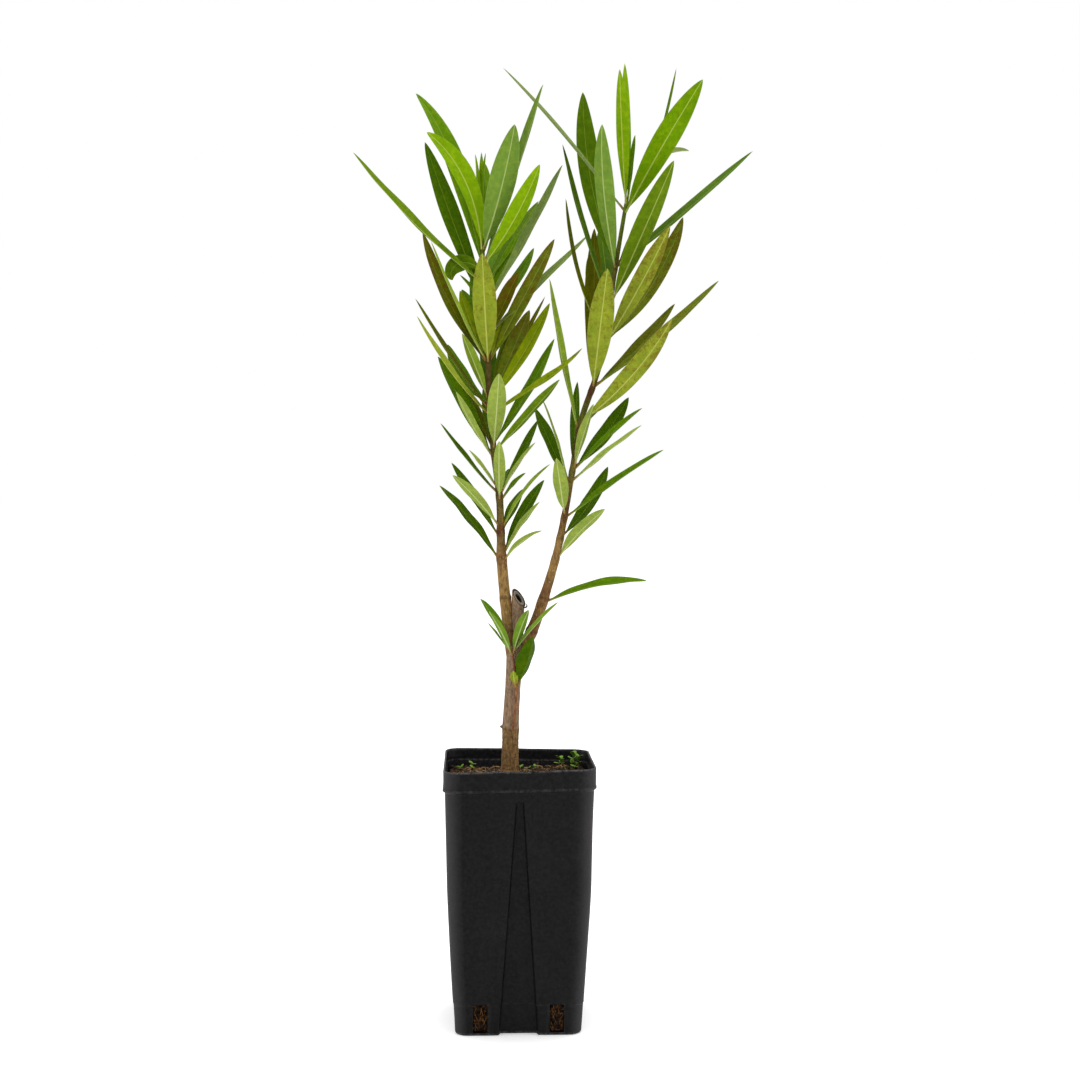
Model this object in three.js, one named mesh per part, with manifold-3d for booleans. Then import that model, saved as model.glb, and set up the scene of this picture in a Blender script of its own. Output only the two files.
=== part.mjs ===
// Potted oleander: a young plant with a short trunk, a cut-off leader and two leafy shoots,
// in a deep square nursery pot. Sizes are in millimetres, Z is up, the front is -Y and the
// origin is the middle of the pot's flat underside.
import * as THREE from "three";
import { mergeVertices } from "three/addons/utils/BufferGeometryUtils.js";
import Module from "manifold-3d";

const wasm = await Module();
wasm.setup();

const PIECE_GAP = 0.3; // between any two pieces that rest against each other
const WELD = 1e-3; // vertices nearer than this are one vertex

// ------------------------------------------------------------------ driving dimensions

const POT = {
  height: 178,
  footHalf: 42.8, // half the width across the flats at the underside
  shoulderHalf: 50.3, // and just under the rim band
  shoulder: 164, // height at which the rim band starts
  bulge: 1, // how far the walls swell half way up
  rimHalf: 51.3,
  lipHalf: 51.4,
  bead: 0.4, // how far the bead under the band stands out from it
  beadTall: 1.6,
  beadSlope: 0.3, // height of the slopes under and over the bead
  lipRound: 0.5, // edge round the mouth
  footCorner: 9,
  rimCorner: 12,
  wall: 1.3,
  floor: 1.6,
  footRound: 1.6, // edge between the wall and the underside
  step: 20.3, // height of the faint step round the foot
  stepDeep: 0.35,
  stepRise: 0.4,
  pleatTop: 155, // the pleat is a wedge-shaped groove in the middle of each face
  pleatRunOut: 4,
  pleatFootWide: 27,
  pleatTopWide: 6.2,
  pleatFootDeep: 4.5,
  pleatTopDeep: 2.4,
  pleatSlope: 1.6,
  pleatLeast: 1, // least width of a pleat's floor
  cornerSteps: 3,
  cutPast: 2, // how far the hollow is cut beyond the mouth
};

const SLOT = { off: 25.6, wide: 9.7, low: 2, high: 21, inner: 38.5, outer: 47 };

const SOIL = {
  level: 165,
  seat: 168, // flat patch round the trunk
  seatRadius: 8.5,
  mound: 30, // the soil rises to the seat over this radius
  unevenness: 1.1,
  edgeDrop: 0.7,
  rings: [0.9, 0.62, 0.36, 0.15],
  // waves of the surface: [strength, turns per mm along X, along Y, start]
  waves: [
    [0.5, 0.21, 0.17, 0.9],
    [0.5, 0.21, -0.17, 1.7],
    [0.6, 0.09, -0.33, 0],
  ],
};

const TRUNK = {
  foot: [-5.2, 0],
  top: [-2.5, 0],
  topHeight: 256,
  sides: 14,
  // [share of the height, radius]: root flare, slender middle, a ringed scar, swelling at the fork
  radii: [
    [0, 6.8],
    [0.05, 6.05],
    [0.14, 5.8],
    [0.32, 5.7],
    [0.36, 5.85],
    [0.4, 5.7],
    [0.66, 5.35],
    [0.86, 5.45],
    [1, 5.7],
  ],
};

const STUB = {
  top: [1.0, 0.4],
  topHeight: 302,
  footRadius: 5.3,
  topRadius: 4.35,
  sides: 12,
  cutPoint: [1.6, 0, 288.8], // middle of the slanting cut
  cutFacing: [0.6, -0.55, 0.6],
  pithRadius: 1.2,
  pithDeep: 6,
  pithLean: [0.05, 0, 1],
  pithSides: 8,
  stations: 5,
};

// A shoot is its foot and then its growth steps: [rise, lean to +X, lean to +Y, radius at the end].
const LEFT_SHOOT = {
  foot: [-3.2, 0, 250],
  footRadius: 4.5,
  steps: [
    [12, -9, -2, 4.3],
    [28, -7, 4, 3.7],
    [28, -5, 4, 3.5],
    [12, -2, 3, 2.8],
    [30, -2, 3, 2.3],
    [34, -7, -2, 2.1],
    [42, -4, -3, 2.0],
    [41, -2, -3, 1.8],
    [35, -3.5, 2, 1.5],
    [28, -3, 3, 1.2],
  ],
};
const RIGHT_SHOOT = {
  foot: [1.5, 0, 250],
  footRadius: 4.2,
  steps: [
    [16, 27, 3, 3.9],
    [22, 20, -3, 3.4],
    [28, 16.5, -5, 2.7],
    [28, 12, -4, 2.2],
    [28, 10, 2, 2.0],
    [42, 10.5, 4, 2.0],
    [26, 19, 4, 1.9],
    [31, 15.5, 0, 1.7],
    [28, 6, -4, 1.6],
    [26, 8, -4, 1.5],
    [38, 9.5, -2, 1.2],
  ],
};
const SHOOT_SIDES = 8;

const SPRIG = {
  radius: 0.9,
  sides: 6,
  step: 8,
  route: [
    [-3.6, -4.4, 199],
    [-2.4, -8.0, 206],
    [-1.4, -8.6, 219],
    [-1.3, -8.6, 236],
    [-2.8, -8.8, 247],
    [-4.2, -9.2, 255],
  ],
};

const BLADE = {
  thick: 1.7, // along the midrib
  seat: 0.3, // how deep a leaf's foot sits in the collar
  fold: 16, // degrees that each half rises from the midrib
  stalk: 2.2, // width of the leaf stalk
  bends: 24, // straight steps in a midrib
  // [share of the length, share of the width]
  outline: [
    [0, 0],
    [0.07, 0],
    [0.27, 0.82],
    [0.5, 1],
    [0.76, 0.66],
  ],
};
const COLLAR = { proud: 1.2, above: 2.2, below: 2.2, cap: 3.5 };

// Every whorl is one mass of leaves. A leaf is
// [height of its foot, turn, lean, lean at the tip, length, width, roll, bend]:
// turn is the compass bearing it points to (0 is +X, 90 is +Y), lean is measured from upright,
// roll turns the blade about its midrib, and bend above 1 keeps the curve for the tip.
const LEFT_WHORLS = [
  [
    [317, 165, 34, 46, 66, 11, -25],
    [316, 320, 40, 76, 40, 8, -8],
    [322, 28, 28, 38, 59, 11, 24],
    [321, 350, 27, 43, 43, 8, -20],
  ],
  [
    [333, 155, 36, 35, 62, 10, -20],
    [340, 208, 39, 53, 50, 10, 25],
    [339, 345, 25, 50, 55, 9, -6],
    [335, 58, 38, 50, 42, 9, 0],
  ],
  [
    [363, 172, 45, 34, 62, 8, -14],
    [367, 215, 41, 44, 34, 7, -5],
    [363, 28, 34, 27, 59, 9, 18],
    [362, 335, 27, 46, 44, 6, -5],
    [358, 268, 40, 35, 50, 9, -15],
    [358, 345, 34, 52, 25, 6, 40],
    [359, 75, 45, 58, 33, 6, -10],
  ],
  [
    [389, 165, 33, 26, 79, 16, -30],
    [395, 135, 34, 35, 60, 12, 0],
    [388, 205, 38, 26, 52, 11, 5],
    [398, 25, 39, 26, 87, 12, 20],
    [392, 335, 46, 44, 68, 12, -10],
    [394, 276, 38, 32, 60, 14, 0],
    [392, 95, 44, 34, 72, 12, 0],
  ],
  [
    [427, 45, 32, 30, 76, 14, 15],
    [427, 18, 39, 25, 81, 11, 45],
    [421, 168, 39, 29, 93, 9, -12],
    [417, 192, 47, 27, 84, 12, 8],
    [424, 135, 64, 22, 61, 12, -14],
    [418, 334, 62, 40, 80, 10, 40, 4],
    [424, 92, 45, 36, 88, 13, 0],
  ],
  [
    [454, 15, 29, 28, 98, 12, 55],
    [453, 158, 39, 16, 105, 13, -25],
    [454, 195, 27, 21, 86, 9, 0],
    [453, 265, 40, 32, 85, 17, 5],
    [454, 100, 44, 30, 96, 14, 0],
  ],
  [
    [471, 345, 26, 25, 48, 14, 60],
    [473, 352, 44, 43, 103, 9, -10],
    [467, 130, 37, 33, 47, 13, -5],
  ],
  [
    [494, 148, 25, 21, 126, 15, -42],
    [494, 5, 33, 24, 110, 12, 30],
    [494, 75, 46, 38, 94, 14, 5],
    [484, 48, 54, 32, 73, 11, 10],
  ],
  [
    [508, 190, 54, 38, 125, 13, 13],
    [507, 222, 38, 215, 50, 13, 15, 2.4],
    [507, 48, 44, 39, 86, 13, 5],
  ],
  [
    [519, 145, 15, 43, 141, 16, -30, 2],
    [522, 344, 21, 17, 128, 14, -12],
    [521, 315, 51, 29, 82, 15, -24],
    [524, 88, 30, 26, 84, 14, 0],
  ],
];
const LEFT_TIP = [
  [531, 228, 3, 71, 97, 17, 12],
  [531, 296, 41, 22, 92, 20, -14],
  [539, 200, 1, 7, 58, 5, 10],
  [539, 96, 2, 2, 60, 5, 10],
  [539, 330, -3, 7, 59, 5, 0],
];
const RIGHT_WHORLS = [
  [[287, 352, 66, 90, 72, 13, 26]],
  [[318, 325, 40, 57, 51, 12, -25]],
  [[333, 35, 55, 25, 63, 13, 20]],
  [
    [346, 8, 54, 58, 83, 11, 18],
    [348, 258, 45, 22, 46, 11, 0],
  ],
  [
    [371, 340, 50, 55, 62, 9, -16],
    [369, 150, 28, 25, 59, 12, -25],
    [369, 180, 12, 22, 61, 7, 5],
    [380, 305, 22, 30, 48, 10, 5],
    [380, 38, 57, 34, 72, 13, 25],
    [379, 2, 44, 52, 63, 9, 25],
    [380, 81, 27, 19, 66, 9, -35],
  ],
  [
    [407, 190, 14, 8, 105, 12, 12],
    [407, 45, 52, 50, 75, 11, 0],
    [413, 328, 58, 33, 96, 16, -40],
  ],
  [
    [437, 8, 56, 44, 116, 12, 26],
    [436, 22, 55, 38, 88, 14, 20],
    [436, 81, 11, -1, 112, 14, -15],
    [436, 275, 41, 33, 94, 18, -10],
  ],
  [
    [469, 20, 48, 19, 107, 15, 36],
    [468, 322, 38, 30, 91, 15, -40],
    [469, 168, 29, 2, 103, 10, -8],
    [468, 100, 42, 34, 84, 13, 0],
  ],
  [
    [495, 322, 29, 28, 105, 17, -35],
    [495, 176, 22, 11, 114, 12, -18],
    [495, 95, 42, 36, 76, 13, 0],
  ],
  [
    [521, 135, 27, 0, 128, 19, -26],
    [518, 258, 40, 31, 107, 15, -10],
    [519, 8, 52, 47, 128, 13, 28],
    [520, 40, 42, 37, 76, 13, 0],
  ],
];
const RIGHT_TIP = [
  [557, 42, 40, 12, 121, 8, -25],
  [556, 318, 35, 41, 105, 18, -40],
  [559, 30, 28, 95, 75, 9, -35, 2],
  [558, 174, 37, 43, 130, 13, -10],
  [562, 255, 20, 10, 91, 10, -10],
  [562, 100, 2, 1, 98, 10, 30],
  [562, 25, 9, 6, 49, 7, 0],
];
// Sprig leaves start at a height on the sprig itself.
const SPRIG_TOP = [
  [252, 192, 21, 39, 44, 9, -45],
  [251, 222, 27, 42, 38, 6, 25],
  [253, 165, 40, 39, 26, 4, 0],
  [252, 318, 17, 32, 34, 8, -20],
  [253, 350, 36, 48, 47, 7, -25],
];
const SPRIG_LOW = [[234, 325, 31, 17, 33, 15, -10]];

const LOOK = {
  pot: [0x242426, 0.62],
  soil: [0x3a2416, 1],
  bark: [0x75634c, 0.85],
  cutWood: [0x6e675c, 0.9],
  shoot: [0x7f6238, 0.7],
  sprig: [0x8a4a35, 0.6],
  lowLeaf: [0x557f1e, 0.5],
  midLeaf: [0x66901f, 0.5],
  topLeaf: [0x7da51c, 0.5],
};

// --------------------------------------------------------------------------- helpers

const radians = THREE.MathUtils.degToRad;
const mix = THREE.MathUtils.lerp;

function geometryOf(points, faces) {
  const flat = new Float32Array(points.flatMap((p) => [p.x, p.y, p.z]));
  const geometry = new THREE.BufferGeometry();
  geometry.setAttribute("position", new THREE.BufferAttribute(flat, 3));
  geometry.setIndex(faces.flat());
  return geometry;
}

// A closed skin over rings of equal count, running anticlockwise seen from the last ring.
function loft(rings, apex) {
  const count = rings[0].length;
  const points = rings.flat();
  const faces = [];
  for (let ring = 0; ring + 1 < rings.length; ring += 1) {
    for (let side = 0; side < count; side += 1) {
      const a = ring * count + side;
      const b = ring * count + ((side + 1) % count);
      faces.push([a, b, b + count], [a, b + count, a + count]);
    }
  }
  const close = (start, centre, outward) => {
    points.push(centre);
    for (let side = 0; side < count; side += 1) {
      const a = start + side;
      const b = start + ((side + 1) % count);
      faces.push(outward ? [a, b, points.length - 1] : [b, a, points.length - 1]);
    }
  };
  close(0, middleOf(rings[0]), false);
  close((rings.length - 1) * count, apex ?? middleOf(rings.at(-1)), true);
  return geometryOf(points, faces);
}

function middleOf(ring) {
  const sum = new THREE.Vector3();
  for (const point of ring) sum.add(point);
  return sum.divideScalar(ring.length);
}

function solidOf(geometry) {
  const bare = new THREE.BufferGeometry();
  bare.setAttribute("position", geometry.getAttribute("position"));
  if (geometry.index) bare.setIndex(geometry.index);
  const merged = mergeVertices(bare, WELD);
  const mesh = new wasm.Mesh({
    numProp: 3,
    vertProperties: new Float32Array(merged.attributes.position.array),
    triVerts: new Uint32Array(merged.index.array),
  });
  return new wasm.Manifold(mesh);
}

function geometryOfSolid(solid) {
  const mesh = solid.getMesh();
  const geometry = new THREE.BufferGeometry();
  const flat = new Float32Array(mesh.vertProperties);
  geometry.setAttribute("position", new THREE.BufferAttribute(flat, 3));
  geometry.setIndex(new THREE.BufferAttribute(new Uint32Array(mesh.triVerts), 1));
  return geometry;
}

function lookOf([colour, roughness]) {
  return new THREE.MeshStandardMaterial({ color: colour, roughness, metalness: 0 });
}

const group = new THREE.Group();
group.name = "potted_oleander";

function addPiece(name, solid, look) {
  const piece = new THREE.Mesh(geometryOfSolid(solid), lookOf(look));
  piece.name = name;
  group.add(piece);
}

// ------------------------------------------------------------------------------- pot

function wallHalf(z) {
  const share = z / POT.shoulder;
  return mix(POT.footHalf, POT.shoulderHalf, share) + POT.bulge * Math.sin(Math.PI * share);
}

function cornerAt(z) {
  return mix(POT.footCorner, POT.rimCorner, z / POT.shoulder);
}

function pleatAt(z) {
  const share = THREE.MathUtils.clamp(z / POT.pleatTop, 0, 1);
  const runOut = THREE.MathUtils.clamp((POT.pleatTop + POT.pleatRunOut - z) / POT.pleatRunOut, 0, 1);
  return {
    wide: mix(POT.pleatFootWide, POT.pleatTopWide, share),
    deep: mix(POT.pleatFootDeep, POT.pleatTopDeep, share) * runOut,
  };
}

// One level outline of the pot: four faces, each with its pleat, and four round corners.
function potOutline(z, half, corner, inset, pleat) {
  const flat = half - inset;
  const round = Math.max(corner - inset, 1);
  const mouth = pleat.wide / 2 + inset / 2;
  const groove = mouth - Math.min(POT.pleatSlope, (pleat.wide - POT.pleatLeast) / 2);
  const points = [];
  for (let face = 0; face < 4; face += 1) {
    const local = [
      [flat, -mouth],
      [flat - pleat.deep, -groove],
      [flat - pleat.deep, groove],
      [flat, mouth],
    ];
    for (let step = 0; step <= POT.cornerSteps; step += 1) {
      const angle = radians((90 * step) / POT.cornerSteps);
      const centre = flat - round;
      local.push([centre + round * Math.cos(angle), centre + round * Math.sin(angle)]);
    }
    const turn = radians(90 * face);
    for (const [out, along] of local) {
      const x = out * Math.cos(turn) - along * Math.sin(turn);
      const y = out * Math.sin(turn) + along * Math.cos(turn);
      points.push(new THREE.Vector3(x, y, z));
    }
  }
  return points;
}

function wallRing(z, inset) {
  return potOutline(z, wallHalf(z), cornerAt(z), inset, pleatAt(z));
}

function bandRing(z, half, inset) {
  return potOutline(z, half, POT.rimCorner, inset, { wide: POT.pleatTopWide, deep: 0 });
}

function outerPot() {
  const underside = potOutline(
    0,
    wallHalf(0) - POT.footRound,
    POT.footCorner,
    0,
    pleatAt(0),
  );
  const runOutEnd = POT.pleatTop + POT.pleatRunOut / 2;
  const beadTop = POT.shoulder + POT.beadTall;
  return loft([
    underside,
    wallRing(POT.footRound, POT.stepDeep),
    wallRing(POT.step, POT.stepDeep),
    wallRing(POT.step + POT.stepRise, 0),
    wallRing(POT.shoulder / 2, 0),
    wallRing(POT.pleatTop, 0),
    wallRing(runOutEnd, 0),
    wallRing(POT.shoulder, 0),
    bandRing(POT.shoulder + POT.beadSlope, POT.rimHalf + POT.bead, 0),
    bandRing(beadTop, POT.rimHalf + POT.bead, 0),
    bandRing(beadTop + POT.beadSlope, POT.rimHalf, 0),
    bandRing(POT.height - POT.lipRound, POT.lipHalf, 0),
    bandRing(POT.height, POT.lipHalf - POT.lipRound, 0),
  ]);
}

function innerPot() {
  return loft([
    wallRing(POT.floor, POT.wall),
    wallRing(POT.shoulder / 2, POT.wall),
    wallRing(POT.pleatTop, POT.wall),
    wallRing(POT.pleatTop + POT.pleatRunOut, POT.wall),
    bandRing(POT.shoulder + POT.beadSlope, POT.rimHalf, POT.wall),
    bandRing(POT.height - POT.lipRound, POT.lipHalf, POT.wall),
    bandRing(POT.height + POT.cutPast, POT.lipHalf, POT.wall),
  ]);
}

function drainSlots() {
  const tall = SLOT.high - SLOT.low;
  const deep = SLOT.outer - SLOT.inner;
  const slots = [];
  for (let face = 0; face < 4; face += 1) {
    for (const side of [-1, 1]) {
      const box = new THREE.BoxGeometry(deep, SLOT.wide, tall);
      const middle = (SLOT.inner + SLOT.outer) / 2;
      box.translate(middle, side * SLOT.off, (SLOT.low + SLOT.high) / 2);
      box.rotateZ(radians(90 * face));
      slots.push(solidOf(box));
    }
  }
  return slots;
}

let pot = solidOf(outerPot()).subtract(solidOf(innerPot()));
for (const slot of drainSlots()) pot = pot.subtract(slot);
addPiece("pot", pot, LOOK.pot);

// ------------------------------------------------------------------------------ soil

function soilHeight(x, y) {
  const away = Math.hypot(x - TRUNK.foot[0], y - TRUNK.foot[1]);
  const rise = THREE.MathUtils.smoothstep(SOIL.mound - away, 0, SOIL.mound - SOIL.seatRadius);
  let wave = 0;
  for (const [strength, alongX, alongY, start] of SOIL.waves) {
    wave += strength * Math.sin(x * alongX + y * alongY + start);
  }
  return mix(SOIL.level + SOIL.unevenness * wave, SOIL.seat, rise);
}

function soilPlug() {
  const inset = POT.wall + PIECE_GAP;
  const rings = [
    wallRing(POT.floor + PIECE_GAP, inset),
    wallRing(POT.shoulder / 2, inset),
    wallRing(POT.pleatTop, inset),
    wallRing(POT.pleatTop + POT.pleatRunOut, inset),
  ];
  const edge = rings.at(-1);
  const [cx, cy] = TRUNK.foot;
  for (const share of [1, ...SOIL.rings]) {
    const ring = edge.map((p) => {
      const x = mix(cx, p.x, share);
      const y = mix(cy, p.y, share);
      const height = share === 1 ? SOIL.level - SOIL.edgeDrop : soilHeight(x, y);
      return new THREE.Vector3(x, y, height);
    });
    rings.push(ring);
  }
  return loft(rings, new THREE.Vector3(cx, cy, SOIL.seat));
}

addPiece("soil", solidOf(soilPlug()), LOOK.soil);

// ------------------------------------------------------------------- round woody limbs

// Level-sided rings square to a route of {at, radius} stations.
function limbRings(stations, sides) {
  return stations.map(({ at, radius }, index) => {
    const before = stations[Math.max(index - 1, 0)].at;
    const after = stations[Math.min(index + 1, stations.length - 1)].at;
    const along = new THREE.Vector3().subVectors(after, before).normalize();
    const across = new THREE.Vector3(1, 0, 0);
    across.addScaledVector(along, -across.dot(along)).normalize();
    const other = new THREE.Vector3().crossVectors(along, across);
    const ring = [];
    for (let side = 0; side < sides; side += 1) {
      const angle = (2 * Math.PI * side) / sides;
      const point = at.clone();
      point.addScaledVector(across, radius * Math.cos(angle));
      point.addScaledVector(other, radius * Math.sin(angle));
      ring.push(point);
    }
    return ring;
  });
}

// The same limb grown all round by a gap, measured to the flats of its sides.
function swollen(stations, gap, sides) {
  const stretch = 1 / Math.cos(Math.PI / sides);
  const grown = stations.map(({ at, radius }) => ({ at, radius: (radius + gap) * stretch }));
  return solidOf(loft(limbRings(grown, sides)));
}

// The room that a limb needs: grown by the gap, and as much longer at its top.
function roomFor(stations, sides) {
  const end = stations.at(-1);
  const beyond = { at: end.at.clone(), radius: end.radius };
  beyond.at.z += PIECE_GAP;
  return swollen([...stations, beyond], PIECE_GAP, sides);
}

function trunkStations() {
  const footHeight = SOIL.seat + PIECE_GAP;
  return TRUNK.radii.map(([share, radius]) => ({
    at: new THREE.Vector3(
      mix(TRUNK.foot[0], TRUNK.top[0], share),
      mix(TRUNK.foot[1], TRUNK.top[1], share),
      mix(footHeight, TRUNK.topHeight, share),
    ),
    radius,
  }));
}

// The foot and the top of the trunk are level cuts.
function trunkSolid(stations) {
  const rings = limbRings(stations, TRUNK.sides);
  for (const index of [0, rings.length - 1]) {
    for (const point of rings[index]) point.z = stations[index].at.z;
  }
  return solidOf(loft(rings));
}

const trunkRoute = trunkStations();
addPiece("trunk", trunkSolid(trunkRoute), LOOK.bark);

function stubStations(foot) {
  const stations = [];
  for (let step = 0; step <= STUB.stations; step += 1) {
    const share = step / STUB.stations;
    const at = new THREE.Vector3(
      mix(TRUNK.top[0], STUB.top[0], Math.sqrt(share)),
      mix(TRUNK.top[1], STUB.top[1], share),
      mix(foot, STUB.topHeight, share),
    );
    stations.push({ at, radius: mix(STUB.footRadius, STUB.topRadius, Math.sqrt(share)) });
  }
  return stations;
}

function stubSolid(stations) {
  const rings = limbRings(stations, STUB.sides);
  for (const point of rings[0]) point.z = stations[0].at.z;
  const facing = new THREE.Vector3(...STUB.cutFacing).normalize();
  const cutPoint = new THREE.Vector3(...STUB.cutPoint);
  const whole = solidOf(loft(rings));
  const cut = whole.trimByPlane(facing.clone().negate().toArray(), -facing.dot(cutPoint));
  const axis = new THREE.Vector3(...STUB.pithLean).normalize();
  const pith = [-STUB.pithDeep, STUB.pithDeep].map((reach) => ({
    at: cutPoint.clone().addScaledVector(axis, reach),
    radius: STUB.pithRadius,
  }));
  return cut.subtract(solidOf(loft(limbRings(pith, STUB.pithSides))));
}

const stubRoute = stubStations(TRUNK.topHeight + PIECE_GAP);
addPiece("cut_stub", stubSolid(stubRoute), LOOK.cutWood);

// Growth steps become a smooth route, read by height.
function shootRoute(shoot) {
  const knots = [{ at: new THREE.Vector3(...shoot.foot), radius: shoot.footRadius }];
  for (const [rise, leanX, leanY, radius] of shoot.steps) {
    const move = new THREE.Vector3(
      Math.tan(radians(leanX)) * rise,
      Math.tan(radians(leanY)) * rise,
      rise,
    );
    knots.push({ at: knots.at(-1).at.clone().add(move), radius });
  }
  return knots;
}

function slopeAt(knots, index, key) {
  const before = knots[Math.max(index - 1, 0)].at;
  const after = knots[Math.min(index + 1, knots.length - 1)].at;
  return (after[key] - before[key]) / (after.z - before.z);
}

// Cubic between knots, with each knot's slope taken from its two neighbours.
function readRoute(knots, z) {
  let index = knots.length - 2;
  while (index > 0 && knots[index].at.z > z) index -= 1;
  const low = knots[index];
  const high = knots[index + 1];
  const span = high.at.z - low.at.z;
  const t = (z - low.at.z) / span;
  const read = (key) => {
    const startSlope = slopeAt(knots, index, key) * span;
    const endSlope = slopeAt(knots, index + 1, key) * span;
    const startShare = 2 * t ** 3 - 3 * t ** 2 + 1;
    const endShare = 3 * t ** 2 - 2 * t ** 3;
    return (
      startShare * low.at[key] +
      (t ** 3 - 2 * t ** 2 + t) * startSlope +
      endShare * high.at[key] +
      (t ** 3 - t ** 2) * endSlope
    );
  };
  return {
    at: new THREE.Vector3(read("x"), read("y"), z),
    radius: mix(low.radius, high.radius, THREE.MathUtils.clamp(t, 0, 1)),
  };
}

function routeBetween(knots, low, high, most) {
  const count = Math.max(1, Math.ceil((high - low) / most));
  const stations = [];
  for (let step = 0; step <= count; step += 1) {
    stations.push(readRoute(knots, mix(low, high, step / count)));
  }
  return stations;
}

const SHOOT_STEP = 20; // longest straight piece of a shoot
const FORK_JOIN = 1; // the room for the stub starts this far inside the room for the trunk
const forkPieces = [
  roomFor(trunkRoute, TRUNK.sides),
  roomFor(stubStations(TRUNK.topHeight - FORK_JOIN), STUB.sides),
];

// A shoot keeps its solid's stations, so that collars are bored to the same facets.
function addShoot(name, knots, sides, step, look) {
  const stations = routeBetween(knots, knots[0].at.z, knots.at(-1).at.z, step);
  let solid = solidOf(loft(limbRings(stations, sides)));
  for (const piece of forkPieces) solid = solid.subtract(piece);
  addPiece(name, solid, look);
  return { knots, sides, sleeve: roomFor(stations, sides) };
}

const sprigKnots = SPRIG.route.map((at) => ({
  at: new THREE.Vector3(...at),
  radius: SPRIG.radius,
}));
const leftShoot = addShoot("left_shoot", shootRoute(LEFT_SHOOT), SHOOT_SIDES, SHOOT_STEP, LOOK.shoot);
const rightShoot = addShoot("right_shoot", shootRoute(RIGHT_SHOOT), SHOOT_SIDES, SHOOT_STEP, LOOK.shoot);
const sprig = addShoot("sprig_stem", sprigKnots, SPRIG.sides, SPRIG.step, LOOK.sprig);

// ---------------------------------------------------------------------------- leaves

// The midrib is an arc: the lean runs from that at the foot to that at the tip.
function midrib(foot, [, turn, lean, tipLean, length, , , bend = 1]) {
  const bearing = radians(turn);
  const stations = [];
  const at = foot.clone();
  for (let step = 0; step <= BLADE.bends; step += 1) {
    const share = step / BLADE.bends;
    const tilt = radians(mix(lean, tipLean, share ** bend));
    const along = new THREE.Vector3(
      Math.sin(tilt) * Math.cos(bearing),
      Math.sin(tilt) * Math.sin(bearing),
      Math.cos(tilt),
    );
    const facing = new THREE.Vector3(
      -Math.cos(tilt) * Math.cos(bearing),
      -Math.cos(tilt) * Math.sin(bearing),
      Math.sin(tilt),
    );
    stations.push({ share, at: at.clone(), along, facing });
    at.addScaledVector(along, length / BLADE.bends);
  }
  return stations;
}

function stationAt(stations, share) {
  const place = share * BLADE.bends;
  const index = Math.min(Math.floor(place), BLADE.bends - 1);
  const rest = place - index;
  const low = stations[index];
  const high = stations[index + 1];
  return {
    at: low.at.clone().lerp(high.at, rest),
    along: low.along.clone().lerp(high.along, rest).normalize(),
    facing: low.facing.clone().lerp(high.facing, rest).normalize(),
  };
}

// A thickened blade: a shallow V across, stalk at the foot, pointed at the tip.
function blade(foot, leaf) {
  const [, , , , , width, roll] = leaf;
  const stations = midrib(foot, leaf);
  const rollAngle = radians(roll);
  const foldAngle = radians(BLADE.fold);
  const rings = BLADE.outline.map(([share, wide]) => {
    const { at, along, facing } = stationAt(stations, share);
    const across = new THREE.Vector3().crossVectors(along, facing);
    const up = facing.clone().multiplyScalar(Math.cos(rollAngle));
    up.addScaledVector(across, Math.sin(rollAngle));
    const side = new THREE.Vector3().crossVectors(along, up);
    const half = Math.max(width * wide, BLADE.stalk) / 2;
    const rise = wide > 0 ? half * Math.sin(foldAngle) : 0;
    const reach = half * Math.cos(foldAngle);
    const thick = (BLADE.thick / 2) * (wide > 0 ? Math.sqrt(mix(0.5, 1, wide)) : 1);
    return [
      at.clone().addScaledVector(side, reach).addScaledVector(up, rise),
      at.clone().addScaledVector(up, -thick),
      at.clone().addScaledVector(side, -reach).addScaledVector(up, rise),
      at.clone().addScaledVector(up, thick),
    ];
  });
  return solidOf(loft(rings, stations.at(-1).at));
}

// A leaf's foot sits just inside the collar, on the side that the leaf points to.
function footOf(knots, [height, turn]) {
  const { at, radius } = readRoute(knots, height);
  const reach = radius + PIECE_GAP + BLADE.seat;
  const bearing = radians(turn);
  at.x += reach * Math.cos(bearing);
  at.y += reach * Math.sin(bearing);
  return at;
}

// A pocket shut in between the feet of leaves is a skin turned inside out: it is filled.
function withoutPockets(solid) {
  const skins = solid.decompose();
  return wasm.Manifold.compose(skins.filter((skin) => skin.volume() > 0));
}

// A whorl is its leaves and the collar that their feet make round the shoot; at a tip the
// collar closes over the end.
function addWhorl(name, { knots, sides, sleeve }, leaves, look, cap = 0) {
  const heights = leaves.map(([height]) => height);
  const low = Math.min(...heights) - COLLAR.below;
  const high = Math.max(...heights) + COLLAR.above + cap;
  const collar = routeBetween(knots, low, high, SHOOT_STEP);
  let solid = swollen(collar, PIECE_GAP + COLLAR.proud, sides);
  for (const leaf of leaves) solid = solid.add(blade(footOf(knots, leaf), leaf));
  addPiece(name, withoutPockets(solid.subtract(sleeve)), look);
}

// Colour grows paler up the shoot, in three steps.
const LOW_SHARE = 0.35;
const MID_SHARE = 0.75;

function addWhorls(side, shoot, whorls, tip) {
  whorls.forEach((leaves, index) => {
    const share = index / whorls.length;
    const look = share < LOW_SHARE ? LOOK.lowLeaf : share < MID_SHARE ? LOOK.midLeaf : LOOK.topLeaf;
    const number = String(index + 1).padStart(2, "0");
    addWhorl(`${side}_whorl_${number}`, shoot, leaves, look);
  });
  addWhorl(`${side}_tip_tuft`, shoot, tip, LOOK.topLeaf, COLLAR.cap);
}

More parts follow.
